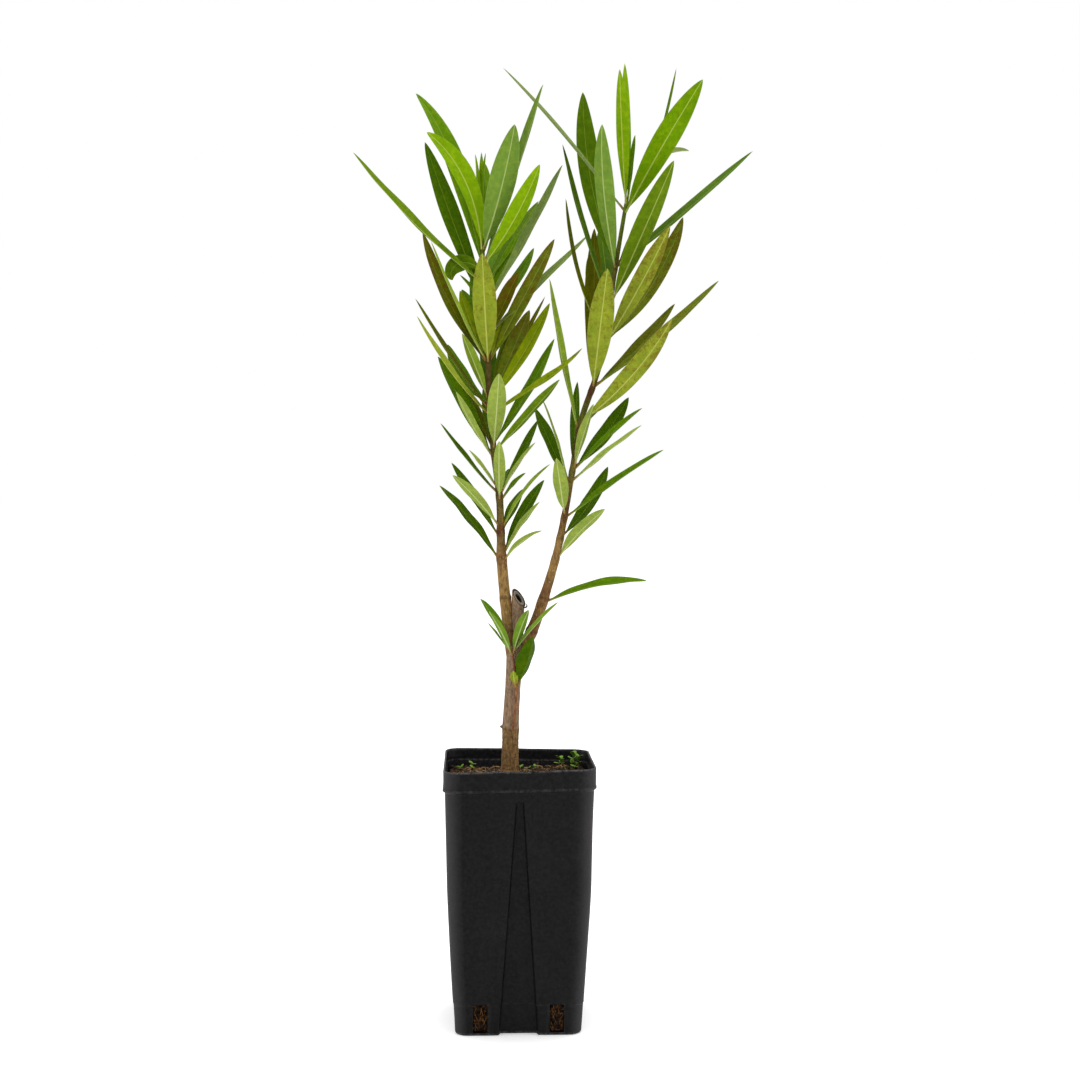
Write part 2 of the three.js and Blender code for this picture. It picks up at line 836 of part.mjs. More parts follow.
addWhorls("left", leftShoot, LEFT_WHORLS, LEFT_TIP);
addWhorls("right", rightShoot, RIGHT_WHORLS, RIGHT_TIP);
addWhorl("sprig_leaves", sprig, SPRIG_TOP, LOOK.lowLeaf, COLLAR.cap);
addWhorl("sprig_broad_leaf", sprig, SPRIG_LOW, LOOK.lowLeaf);

export default group;
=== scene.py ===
import math

import bpy
import numpy as np
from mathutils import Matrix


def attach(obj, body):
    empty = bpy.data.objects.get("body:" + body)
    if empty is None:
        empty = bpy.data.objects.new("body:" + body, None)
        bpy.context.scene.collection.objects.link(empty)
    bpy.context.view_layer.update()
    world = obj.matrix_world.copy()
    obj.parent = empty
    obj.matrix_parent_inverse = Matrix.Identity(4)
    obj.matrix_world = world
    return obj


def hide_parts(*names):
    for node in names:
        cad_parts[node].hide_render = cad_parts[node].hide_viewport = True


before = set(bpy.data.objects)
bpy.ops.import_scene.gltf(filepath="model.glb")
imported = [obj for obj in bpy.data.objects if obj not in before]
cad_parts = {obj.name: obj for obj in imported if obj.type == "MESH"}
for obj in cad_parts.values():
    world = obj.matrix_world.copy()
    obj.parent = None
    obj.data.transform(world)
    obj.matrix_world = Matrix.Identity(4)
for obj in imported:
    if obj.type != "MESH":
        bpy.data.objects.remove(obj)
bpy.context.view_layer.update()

MM = 0.001

# ------------------------------------------------------------------ growth of the plant
# Millimetres and degrees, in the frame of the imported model: +Z up, the front is -Y.

# A shoot is its foot, the radius there, and growth steps of (rise, lean to +X, lean to +Y, radius).
LEFT_SHOOT = (
    (-3.2, 0, 250),
    4.5,
    [
        (12, -9, -2, 4.3),
        (28, -7, 4, 3.7),
        (28, -5, 4, 3.5),
        (12, -2, 3, 2.8),
        (30, -2, 3, 2.3),
        (34, -7, -2, 2.1),
        (42, -4, -3, 2.0),
        (41, -2, -3, 1.8),
        (35, -3.5, 2, 1.5),
        (28, -3, 3, 1.2),
    ],
)
RIGHT_SHOOT = (
    (1.5, 0, 250),
    4.2,
    [
        (16, 27, 3, 3.9),
        (22, 20, -3, 3.4),
        (28, 16.5, -5, 2.7),
        (28, 12, -4, 2.2),
        (28, 10, 2, 2.0),
        (42, 10.5, 4, 2.0),
        (26, 19, 4, 1.9),
        (31, 15.5, 0, 1.7),
        (28, 6, -4, 1.6),
        (26, 8, -4, 1.5),
        (38, 9.5, -2, 1.2),
    ],
)
SPRIG_ROUTE = [
    (-3.6, -4.4, 199),
    (-2.4, -8.0, 206),
    (-1.4, -8.6, 219),
    (-1.3, -8.6, 236),
    (-2.8, -8.8, 247),
    (-4.2, -9.2, 255),
]
SPRIG_RADIUS = 0.75

# Leaf kinds: colours of the upper side, its midrib, the underside and its midrib, in sRGB. The grey and
# silver kinds are partly painted sheen: the grey that the white surround lends a glossy leaf is put into
# their colours.
LEAF_KINDS = {
    "spring": ((132, 176, 2), (196, 206, 92), (126, 168, 8), (190, 204, 90)),
    "fresh": ((96, 138, 6), (156, 180, 70), (130, 158, 48), (196, 206, 120)),
    "deep": ((72, 108, 2), (134, 160, 48), (108, 140, 36), (176, 194, 108)),
    "shade": ((48, 84, 2), (100, 130, 30), (64, 98, 2), (92, 124, 20)),
    "grey": ((80, 114, 22), (150, 172, 84), (112, 146, 54), (184, 200, 124)),
    "pale": ((88, 122, 10), (150, 172, 64), (142, 164, 70), (202, 212, 140)),
    "olive": ((98, 106, 4), (150, 152, 50), (136, 152, 42), (196, 200, 100)),
    "lime": ((130, 152, 8), (180, 188, 70), (142, 162, 42), (196, 204, 100)),
    "moss": ((84, 118, 6), (144, 168, 60), (98, 130, 16), (180, 194, 98)),
    "dull": ((112, 128, 26), (164, 172, 84), (128, 146, 48), (184, 192, 100)),
    "sprout": ((90, 134, 16), (192, 208, 128), (112, 150, 44), (198, 214, 142)),
    "silver": ((122, 146, 72), (166, 182, 112), (136, 156, 88), (180, 194, 130)),
    "bronze": ((92, 96, 4), (142, 142, 46), (138, 138, 42), (176, 176, 84)),
    "bright": ((108, 150, 2), (178, 198, 84), (106, 148, 2), (180, 200, 88)),
}

# Kinds whose stalks are as green as the midrib. Other stalks are pinkish.
GREEN_STALKED = ("spring", "bright")

# What a leaf has of its own: bend, the power by which its lean changes; sweep, the change of turn to the
# tip; twist and fold in degrees; wave in millimetres; and tinge, how much it is speckled.
STRAIGHT = {"sweep": 0}
HOOKED = {"bend": 1.7, "sweep": 0, "twist": 0, "fold": 8, "wave": 0.1}

# A leaf is (height of its foot, turn, lean, lean at the tip, length, width, roll, kind, what it has of its
# own). Its turn is anticlockwise from +X, and its lean is from upright.
LEFT_WHORLS = [
    [
        (317, 165, 34, 46, 66, 11, -25, "deep"),
        (316, 320, 40, 76, 40, 8, -8, "pale", STRAIGHT),
        (322, 28, 28, 38, 59, 11, 24, "deep", STRAIGHT),
        (321, 350, 27, 43, 43, 8, -20, "pale"),
    ],
    [
        (333, 155, 36, 35, 62, 10, -20, "deep", STRAIGHT),
        (340, 208, 39, 53, 50, 10, 25, "pale"),
        (339, 345, 25, 50, 55, 9, -6, "fresh", STRAIGHT),
        (335, 58, 38, 50, 42, 9, 0, "deep"),
    ],
    [
        (363, 172, 45, 34, 62, 8, -14, "deep", STRAIGHT),
        (367, 215, 41, 44, 34, 7, -5, "pale"),
        (363, 28, 34, 27, 59, 9, 18, "deep", STRAIGHT),
        (362, 335, 27, 46, 44, 6, -5, "pale"),
        (358, 268, 40, 35, 50, 9, -15, "pale"),
        (358, 345, 34, 52, 25, 6, 40, "fresh"),
        (359, 75, 45, 58, 33, 6, -10, "deep"),
    ],
    [
        (389, 165, 33, 26, 79, 16, -30, "fresh"),
        (395, 135, 34, 35, 60, 12, 0, "olive"),
        (388, 205, 38, 26, 52, 11, 5, "pale"),
        (398, 25, 39, 26, 87, 12, 20, "fresh", STRAIGHT),
        (392, 335, 46, 44, 68, 13, -10, "moss", STRAIGHT),
        (394, 276, 38, 32, 60, 14, 0, "pale"),
        (392, 95, 44, 34, 72, 12, 0, "deep"),
    ],
    [
        (427, 45, 32, 30, 76, 14, 22, "dull", {"tinge": 0.6}),
        (427, 18, 39, 25, 81, 11, 45, "lime", STRAIGHT),
        (421, 168, 39, 29, 93, 9, -12, "olive", STRAIGHT),
        (417, 192, 47, 27, 84, 12, 8, "olive", STRAIGHT),
        (424, 135, 64, 22, 61, 12, -14, "fresh", STRAIGHT),
        (418, 334, 62, 40, 80, 10, 40, "lime", {"bend": 4, "sweep": 0, "tinge": 0.4}),
        (424, 92, 45, 36, 88, 13, 0, "deep"),
    ],
    [
        (454, 15, 29, 28, 98, 12, 55, "dull", {"tinge": 0.6}),
        (453, 158, 39, 16, 105, 13, -25, "olive", {"sweep": 0, "tinge": 0.5}),
        (454, 195, 31, 21, 90, 8, 0, "fresh"),
        (453, 265, 40, 32, 85, 17, 5, "olive", {"tinge": 0.3}),
        (454, 100, 44, 30, 96, 14, 0, "deep"),
    ],
    [
        (471, 345, 26, 25, 48, 14, 60, "bronze", {"tinge": 0.6}),
        (473, 25, 48, 46, 107, 9, 22, "silver", STRAIGHT),
        (467, 130, 37, 33, 47, 13, -5, "fresh"),
    ],
    [
        (494, 148, 25, 21, 126, 15, -42, "deep", STRAIGHT),
        (494, 5, 33, 24, 110, 12, 30, "silver", {"sweep": 0, "fold": 26}),
        (494, 75, 46, 38, 94, 14, 5, "fresh"),
        (484, 48, 54, 32, 73, 11, 10, "fresh", STRAIGHT),
    ],
    [
        (508, 190, 54, 38, 125, 13, 13, "moss", STRAIGHT),
        (516, 182, 50, 215, 32, 12, -85, "moss", HOOKED),
        (507, 48, 44, 39, 86, 13, 5, "pale", STRAIGHT),
    ],
    [
        (519, 145, 15, 43, 141, 16, -30, "fresh", {"bend": 2, "sweep": 0}),
        (522, 344, 21, 17, 128, 14, -12, "grey", STRAIGHT),
        (521, 315, 51, 29, 82, 15, -24, "spring", STRAIGHT),
        (524, 88, 30, 26, 84, 14, 0, "fresh"),
    ],
]
LEFT_TIP = [
    (531, 228, 3, 71, 97, 17, 12, "spring", STRAIGHT),
    (531, 296, 41, 22, 92, 20, -14, "grey", STRAIGHT),
    (539, 200, 1, 7, 58, 5, 10, "spring"),
    (539, 96, 2, 2, 60, 5, 10, "spring"),
    (539, 330, -3, 7, 59, 5, 0, "spring"),
]
RIGHT_WHORLS = [
    [(287, 352, 66, 90, 72, 13, 26, "fresh", {"sweep": 0, "fold": 30})],
    [(318, 325, 40, 57, 51, 12, -25, "pale")],
    [(333, 35, 55, 25, 63, 13, 20, "deep")],
    [
        (346, 8, 54, 58, 83, 11, 18, "fresh", {"sweep": 0, "fold": 26}),
        (348, 258, 45, 22, 46, 11, 0, "pale", {"sweep": -12}),
    ],
    [
        (371, 340, 50, 55, 62, 9, -16, "pale", STRAIGHT),
        (369, 150, 28, 25, 59, 12, -25, "deep"),
        (369, 180, 12, 22, 61, 7, 5, "pale"),
        (380, 305, 22, 30, 48, 10, 5, "pale"),
        (380, 38, 57, 34, 72, 13, 25, "deep", STRAIGHT),
        (379, 2, 44, 52, 63, 9, 25, "fresh"),
        (380, 81, 27, 19, 66, 9, -35, "deep"),
    ],
    [
        (407, 190, 14, 8, 105, 12, 12, "fresh"),
        (407, 45, 52, 50, 75, 11, 0, "deep"),
        (413, 328, 58, 33, 96, 16, -40, "olive", {"sweep": 0, "tinge": 0.5}),
    ],
    [
        (437, 8, 56, 44, 116, 12, 26, "dull", {"sweep": 0, "tinge": 0.3}),
        (436, 22, 55, 38, 88, 14, 20, "olive"),
        (436, 81, 11, -1, 112, 14, -15, "bronze"),
        (436, 275, 41, 33, 94, 18, -10, "olive", {"sweep": 3, "tinge": 0.4}),
    ],
    [
        (469, 20, 48, 19, 107, 15, 36, "dull", {"tinge": 0.6}),
        (468, 322, 38, 30, 91, 15, -40, "olive", {"sweep": 0, "tinge": 0.6}),
        (469, 168, 29, 2, 103, 10, -8, "olive", STRAIGHT),
        (468, 100, 42, 34, 84, 13, 0, "deep"),
    ],
    [
        (495, 322, 29, 28, 105, 17, -35, "moss", STRAIGHT),
        (495, 176, 22, 11, 114, 12, -18, "deep", STRAIGHT),
        (495, 95, 42, 36, 76, 13, 0, "deep"),
    ],
    [
        (521, 135, 27, 0, 128, 19, -26, "moss", STRAIGHT),
        (518, 252, 40, 31, 107, 15, -10, "grey", {"sweep": 18}),
        (519, 8, 52, 47, 128, 13, 28, "grey", STRAIGHT),
        (520, 40, 42, 37, 76, 13, 0, "deep"),
    ],
]
RIGHT_TIP = [
    (557, 42, 40, 12, 121, 6, -25, "moss", STRAIGHT),
    (556, 318, 35, 41, 105, 18, -40, "bright", STRAIGHT),
    (559, 30, 28, 95, 75, 9, -35, "silver", {"bend": 2, "sweep": 0}),
    (558, 174, 37, 43, 130, 13, -10, "silver", STRAIGHT),
    (562, 255, 20, 10, 91, 10, -10, "spring", {"sweep": 0, "fold": 26}),
    (562, 100, 2, 1, 98, 10, 30, "spring", STRAIGHT),
    (562, 25, 9, 6, 49, 7, 0, "fresh"),
]
SPRIG_TOP = [
    (252, 192, 21, 39, 44, 9.5, -45, "sprout", {"fold": 22}),
    (251, 222, 27, 42, 38, 6, 25, "sprout"),
    (253, 165, 40, 39, 26, 4, 0, "sprout"),
    (252, 318, 17, 32, 34, 8.5, -20, "sprout", {"fold": 24}),
    (253, 350, 36, 48, 47, 7, -25, "sprout"),
]
SPRIG_LOW = [(230, 325, 32, 10, 37, 18.5, -10, "shade")]

# Leaves that fill out a left whorl between the ones above: the whorl's number, then its further leaves.
LEFT_FILLING = {
    5: [
        (428, 195, 21, 24, 48, 9, 50, "fresh"),
        (427, 62, 31, 33, 71, 11, 50, "moss", {"tinge": 0.5}),
        (427, 50, 39, 38, 98, 4, 30, "olive", {"sweep": 0, "tinge": 0.5}),
    ],
    6: [
        (454, 30, 19, 36, 41, 9, 50, "lime", {"tinge": 0.6}),
        (455, 160, 28, 16, 52, 10, -50, "lime"),
    ],
    8: [
        (494, 40, 32, 26, 58, 9, 30, "fresh"),
        (494, 165, 41, 41, 26, 6, -20, "fresh"),
    ],
    9: [(508, 70, 73, 51, 84, 10, 0, "fresh")],
}
SPRIG_BRACT = (229, 246, 28, 12, 12.5, 6.2, 0, "lime", {"fold": 8})

# ------------------------------------------------------------------------------ helpers

# Large primes that scatter the corners of the noise lattice, and the greatest value that a corner gets.
LATTICE_PRIMES = (73856093, 19349663, 83492791)
SEED_PRIME = 2654435761
STIR_PRIME = 1274126177
STIR_TOP = 0xFFFF


def rows_of(count):
    """Even shares from 0 to 1, count + 1 of them."""
    return np.linspace(0.0, 1.0, count + 1)


def turns_of(count):
    """The angles, in radians, of count even steps once round a ring."""
    return 2.0 * np.pi * np.arange(count) / count


def smooth(share):
    """3t^2 - 2t^3, which leaves 0 and reaches 1 with no slope."""
    return share * share * (3.0 - 2.0 * share)


def ramp(low, high, value):
    """Smooth step: 0 before low, 1 past high, and 3t^2 - 2t^3 between. low may be above high."""
    return smooth(np.clip((value - low) / (high - low), 0.0, 1.0))


def bell(value, middle, wide):
    """1 at the middle, falling off to either side as exp(-((value - middle) / wide) squared)."""
    return np.exp(-(((value - middle) / wide) ** 2))


def unit(vectors):
    """Each vector divided by its length."""
    length = np.linalg.norm(vectors, axis=-1, keepdims=True)
    return vectors / np.maximum(length, 1e-12)


def heading(lean, turn):
    """Unit vectors that lean from +Z by one angle, to the side that the other angle gives from +X:
    (sin lean cos turn, sin lean sin turn, cos lean)."""
    lean, turn = np.broadcast_arrays(lean, turn)
    return np.stack([np.sin(lean) * np.cos(turn), np.sin(lean) * np.sin(turn), np.cos(lean)], axis=-1)


def lumps(points, size, seed):
    """Smooth noise from -1 to 1: the corners of a lattice of cells of this size have random values, and the
    eight about a point are mixed by smooth steps."""
    cells = np.asarray(points, float) / size
    low = np.floor(cells).astype(np.int64)
    share = smooth(cells - low)
    total = np.zeros(cells.shape[:-1])
    for corner in np.ndindex(2, 2, 2):
        x, y, z = np.moveaxis((low + corner) * LATTICE_PRIMES, -1, 0)
        mixed = x ^ y ^ z ^ seed * SEED_PRIME
        mixed = (mixed ^ (mixed >> 13)) * STIR_PRIME
        mixed = (mixed ^ (mixed >> 16)) & STIR_TOP
        weight = np.prod(np.where(corner, share, 1.0 - share), axis=-1)
        total += weight * (mixed / (STIR_TOP / 2) - 1.0)
    return total


class Shape:
    """Joined pieces of mesh: points, faces, the look each face wears, map corners and point values."""

    def __init__(self):
        self.points = []
        self.faces = []
        self.looks = []
        self.corners = []
        self.values = {}
        self.count = 0

    def loft(self, rings, look=0, cell=(0.0, 0.0, 1.0, 1.0), keep=None, **values):
        """Skin over rings (rows, corners, 3) that run anticlockwise seen from the last row, closed by a
        flat cap at each end. On the map a face lies at (corner, row) of its cell, and a cap is a speck at
        the cell's foot or head. look is one number or one for each (row, corner) face, keep tells which
        of those faces stay, and values are kept on the points."""
        rows, corners = rings.shape[:2]
        index = self.count + np.arange(rows * corners).reshape(rows, corners)
        after = np.roll(index, -1, axis=1)
        quads = np.stack([index[:-1], after[:-1], after[1:], index[1:]], axis=-1).reshape(-1, 4)
        left, low, wide, tall = cell
        column = (np.arange(corners)[None, :, None] + [0, 1, 1, 0]) / corners
        row = (np.arange(rows - 1)[:, None, None] + [0, 0, 1, 1]) / (rows - 1)
        u, v = np.broadcast_arrays(left + wide * column, low + tall * row)
        flat = np.stack([u, v], axis=-1).reshape(-1, 4, 2)
        looks = np.broadcast_to(look, (rows - 1, corners)).ravel()
        if keep is not None:
            quads, flat, looks = quads[keep.ravel()], flat[keep.ravel()], looks[keep.ravel()]
        angle = turns_of(corners)
        cap = np.stack([np.cos(angle), np.sin(angle)], axis=-1) * 0.004 * min(wide, tall)
        foot = cap[::-1] + (left + wide / 2, low)
        head = cap + (left + wide / 2, low + tall)
        self.points.append(rings.reshape(-1, 3))
        self.faces += quads.tolist() + [index[0, ::-1].tolist(), index[-1].tolist()]
        self.looks.append(np.concatenate([looks, looks[:1], looks[-1:]]))
        self.corners.append(np.concatenate([flat.reshape(-1, 2), foot, head]))
        for name, value in values.items():
            kept = np.asarray(value, float).reshape(rows * corners, -1).squeeze()
            self.values.setdefault(name, []).append(kept)
        self.count += rows * corners

    def join(self, faces, look, corners):
        """Adds faces between points that are there already, by their numbers in the whole shape."""
        self.faces += faces
        self.looks.append(np.full(len(faces), look))
        self.corners.append(corners)


def make_piece(name, shape, looks, nodes=()):
    """Puts a shape into a mesh object that rides on the part and stands for the given nodes."""
    mesh = bpy.data.meshes.new(name)
    mesh.from_pydata((np.concatenate(shape.points) * MM).tolist(), [], shape.faces)
    for look in looks:
        mesh.materials.append(look)
    mesh.polygons.foreach_set("material_index", np.concatenate(shape.looks).astype(np.int32))
    mesh.polygons.foreach_set("use_smooth", np.ones(len(mesh.polygons), bool))
    layer = mesh.uv_layers.new(name="OFBake", do_init=False)
    layer.uv.foreach_set("vector", np.concatenate(shape.corners).astype(np.float32).ravel())
    for key, parts in shape.values.items():
        joined = np.concatenate(parts).astype(np.float32)
        wide = joined.ndim > 1
        store = mesh.attributes.new(key, "FLOAT_VECTOR" if wide else "FLOAT", "POINT")
        store.data.foreach_set("vector" if wide else "value", joined.ravel())
    mesh.update()
    piece = bpy.data.objects.new(name, mesh)
    bpy.context.scene.collection.objects.link(piece)
    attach(piece, "root")
    if nodes:
        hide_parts(*nodes)


# ----------------------------------------------------------------------- shader language

# A wired colour is given as it looks under the stage's lamps. The surface itself is darker by this.
ALBEDO = 0.72


def linear(colour):
    """An sRGB colour of 0 to 255 as linear light with alpha."""
    share = np.array(colour, float) / 255.0
    light = np.where(share <= 0.04045, share / 12.92, ((share + 0.055) / 1.055) ** 2.4)
    return (*light.tolist(), 1.0)


class Wire:
    """A shader value. Arithmetic with numbers and other wires, in either order, adds Math nodes."""

    def __init__(self, look, socket):
        self.look = look
        self.socket = socket

    def math(self, operation, *others):
        """A Math node's result from this value and the others."""
        return self.look.math(operation, self, *others)

    def __add__(self, other):
        return self.math("ADD", other)

    def __sub__(self, other):
        return self.math("SUBTRACT", other)

    def __rsub__(self, other):
        return self.look.math("SUBTRACT", other, self)

    def __mul__(self, other):
        return self.math("MULTIPLY", other)

    def __truediv__(self, other):
        return self.math("DIVIDE", other)

    def __rtruediv__(self, other):
        return self.look.math("DIVIDE", other, self)

    __radd__ = __add__
    __rmul__ = __mul__

    def step(self, low, high):
        """0 before low, 1 past high, smooth between. low may be above high."""
        settings = {"interpolation_type": "SMOOTHSTEP"}
        sockets = {"Value": self, "From Min": low, "From Max": high}
        return self.look.node("ShaderNodeMapRange", settings, sockets)


class Look:
    """A material whose nodes are added by name, with one Principled surface."""

    def __init__(self, name):
        self.material = bpy.data.materials.new(name)
        self.material.use_nodes = True
        self.tree = self.material.node_tree
        self.tree.nodes.clear()

    def node(self, kind, settings=None, sockets=None, output=0):
        """Adds a node: its settings first, then its sockets, by name or in order, from numbers or wires."""
        made = self.tree.nodes.new(kind)
        for key, value in (settings or {}).items():
            setattr(made, key, value)
        pairs = enumerate(sockets) if isinstance(sockets, list) else (sockets or {}).items()
        for key, value in pairs:
            if isinstance(value, Wire):
                self.tree.links.new(value.socket, made.inputs[key])
            else:
                made.inputs[key].default_value = value
        return Wire(self, made.outputs[output]) if made.outputs else None

    def math(self, operation, *terms):
        """A Math node's result from numbers and wires."""
        return self.node("ShaderNodeMath", {"operation": operation}, list(terms))

    def place(self):
        """The point's place in the part's frame."""
        return self.node("ShaderNodeTexCoord", output="Object")

    def value(self, name, output="Fac"):
        """A value kept on the mesh's points."""
        return self.node("ShaderNodeAttribute", {"attribute_name": name}, output=output)

    def parts(self, vector):
        """The three numbers of a vector."""
        made = self.node("ShaderNodeSeparateXYZ", sockets=[vector])
        return [Wire(self, socket) for socket in made.socket.node.outputs]

    def stretch(self, vector, scale):
        """A vector times one factor for each axis."""
        return self.node("ShaderNodeVectorMath", {"operation": "MULTIPLY"}, [vector, scale])

    def noise(self, vector, scale, detail=3.0, roughness=0.55):
        """Cloudy noise of 0 to 1, scale in lumps for each metre."""
        sockets = {"Vector": vector, "Scale": scale, "Detail": detail, "Roughness": roughness}
        return self.node("ShaderNodeTexNoise", sockets=sockets, output="Fac")

    def mix(self, first, second, share):
        """Colour mix: the first colour at share 0, the second at 1."""
        first = first if isinstance(first, Wire) else linear(first)
        second = second if isinstance(second, Wire) else linear(second)
        return self.node("ShaderNodeMix", {"data_type": "RGBA"}, {0: share, 6: first, 7: second}, 2)

    def shade(self, colour, amount):
        """A colour with its light multiplied by a wire."""
        grey = self.node("ShaderNodeCombineXYZ", sockets=[amount, amount, amount])
        return self.stretch(colour, grey)

    def bump(self, height, distance, strength):
        """A normal from a height of 0 to 1 that stands for this distance in millimetres."""
        sockets = {"Strength": strength, "Distance": distance * MM, "Height": height}
        return self.node("ShaderNodeBump", sockets=sockets)

    def surface(self, colour, roughness, gleam, normal=None, **fixed):
        """Ends the material and returns it. gleam is the specular level, and the fixed sockets take plain
        numbers."""
        if isinstance(colour, Wire):
            colour = self.stretch(colour, (ALBEDO, ALBEDO, ALBEDO))
        sockets = {"Base Color": colour, "Roughness": roughness, "Specular IOR Level": gleam, **fixed}
        if normal is not None:
            sockets["Normal"] = normal
        shader = self.node("ShaderNodeBsdfPrincipled", sockets=sockets)
        self.node("ShaderNodeOutputMaterial", sockets={"Surface": shader})
        return self.material


# ------------------------------------------------------------------------------- looks

# sRGB colours: a leaf's stalk and its specks, what bark takes on, whose dark is also painted shade, the pot,
# with a painted sheen and highlight, and the cut through the leader.
STALK = (160, 104, 60)
TINGE = (112, 62, 22)
BLUSH = (86, 34, 22)
BARK_THREAD = (70, 48, 32)
DEAD_BARK_AND_SHADE = (40, 26, 20)
PLASTIC = (3, 3, 3)
PLASTIC_DUST = (36, 34, 36)
PLASTIC_PAINTED_SHEEN = (84, 81, 84)
PLASTIC_WORN_AND_HIGHLIGHT = (108, 105, 106)
SPLASH = (120, 104, 84)
CUT_PALE = (168, 160, 144)
CUT_DARK = (84, 72, 58)
CUT_BARK = (52, 40, 31)
PITH = (18, 13, 10)

# How the sides of a leaf differ: half width of the midrib at the foot in millimetres, how strongly it and
# the margin show, how far it is sunk, and the roughness.
LEAF_SIDES = {
    "under": {"rib_half": 0.7, "rib_shows": 0.85, "margin_shows": 0.3, "rib_sunk": -0.6, "rough": 0.6},
    "upper": {"rib_half": 0.42, "rib_shows": 0.7, "margin_shows": 0.4, "rib_sunk": 0.5, "rough": 0.42},
}


def warm(colour):
    """The same colour, a little yellower and lighter."""
    red, green, blue = colour
    return (min(red + 26, 255), min(green + 14, 255), blue)


def leaf_look(kind, side):
    """A leaf's side: blade colour with cloudy variation and fine slanting side veins, a midrib that narrows
    to the tip, a thin pale margin, a pinkish or green stalk, and brown specks, thickest at the tip and the
    margins, where the leaf has a tinge. The points keep millimetres off the midrib, millimetres from the
    foot and the share of the length as leaf, and how near the margin they are as edge."""
    look = Look(f"leaf_{kind}_{side}")
    blade, rib = LEAF_KINDS[kind][:2] if side == "upper" else LEAF_KINDS[kind][2:]
    form = LEAF_SIDES[side]
    off, run, share = look.parts(look.value("leaf", "Vector"))
    edge = look.value("edge")
    tinge = look.value("tinge")
    place = look.place()
    away = off.math("ABSOLUTE")
    cloud = look.noise(place, 70.0)
    fleck = look.noise(place, 900.0, 2.0)
    blot = look.noise(place, 300.0, 3.0, 0.6)
    veins = (run * 5.2 + away * 5.6 + cloud * 4.0).math("SINE")
    colour = look.mix(blade, warm(blade), blot.step(0.4, 0.75) * 0.6)
    colour = look.shade(colour, 0.55 + cloud * 0.5 + blot * 0.34 + veins * 0.06 + fleck * 0.12)
    flush = tinge * share * (0.35 + edge * 0.5)
    specks = look.noise(place, 620.0, 4.0, 0.7) * 0.7 + look.noise(place, 210.0) * 0.5
    colour = look.mix(colour, TINGE, (specks + flush * 0.55).step(0.69, 0.8) * tinge.step(0.02, 0.3) * 0.5)
    colour = look.mix(colour, rib, edge.step(0.93, 0.99) * form["margin_shows"])
    rib_mask = (away / ((1.0 - share * 0.62) * form["rib_half"])).step(1.25, 0.55)
    colour = look.mix(colour, rib, rib_mask * form["rib_shows"])
    stalk = rib if kind in GREEN_STALKED else STALK
    colour = look.mix(colour, stalk, run.step(7.0, 2.0) * 0.75)
    rough = form["rough"] + fleck * 0.1 + rib_mask * 0.08
    relief = veins * 0.12 + cloud * 0.3 + fleck * 0.3 - rib_mask * form["rib_sunk"]
    return look.surface(colour, rough, 0.025, look.bump(relief, 0.22, 0.6))


def bark_look(name, old, young, pores, ridge):
    """Bark: streaks along the limb, dark threads, pores and mottling. The points keep an age, 1 old to 0
    young, a blush of red-brown and a dark, which is dead bark and, just under the trunk's pale ring,
    painted shade. ridge is the depth of the streaks in millimetres."""
    look = Look(name)
    place = look.place()
    age = look.value("age")
    streak = look.noise(look.stretch(place, (1.0, 1.0, 0.12)), 900.0, 4.0, 0.6)
    cloud = look.noise(place, 120.0)
    fine = look.noise(look.stretch(place, (1.0, 1.0, 0.4)), 2600.0)
    mottle = look.noise(look.stretch(place, (1.0, 1.0, 0.5)), 420.0, 6.0, 0.85)
    thread = look.noise(look.stretch(place, (1.0, 1.0, 0.06)), 1500.0, 3.0, 0.65)
    fleck = look.noise(look.stretch(place, (1.0, 1.0, 0.5)), 760.0, 2.0)
    colour = look.mix(young, old, age)
    colour = look.mix(colour, BLUSH, look.value("blush") * (0.35 + streak * 1.1) * 0.9)
    colour = look.shade(colour, streak * 1.5 + cloud * 0.36 + fine * 0.5 - 0.2)
    colour = look.shade(colour, (mottle - 0.5) * 4.0 + 1.0)
    colour = look.mix(colour, BARK_THREAD, thread.step(0.56, 0.7) * 0.55)
    colour = look.mix(colour, pores, fleck.step(0.62, 0.72) * age * 0.5)
    # The dark is dead bark, and just under the trunk's pale ring it is painted shade.
    colour = look.mix(colour, DEAD_BARK_AND_SHADE, look.value("dark"))
    normal = look.bump(streak * 0.7 + fine * 0.3, ridge, 0.8)
    return look.surface(colour, 0.62 + streak * 0.2, 0.16, normal)


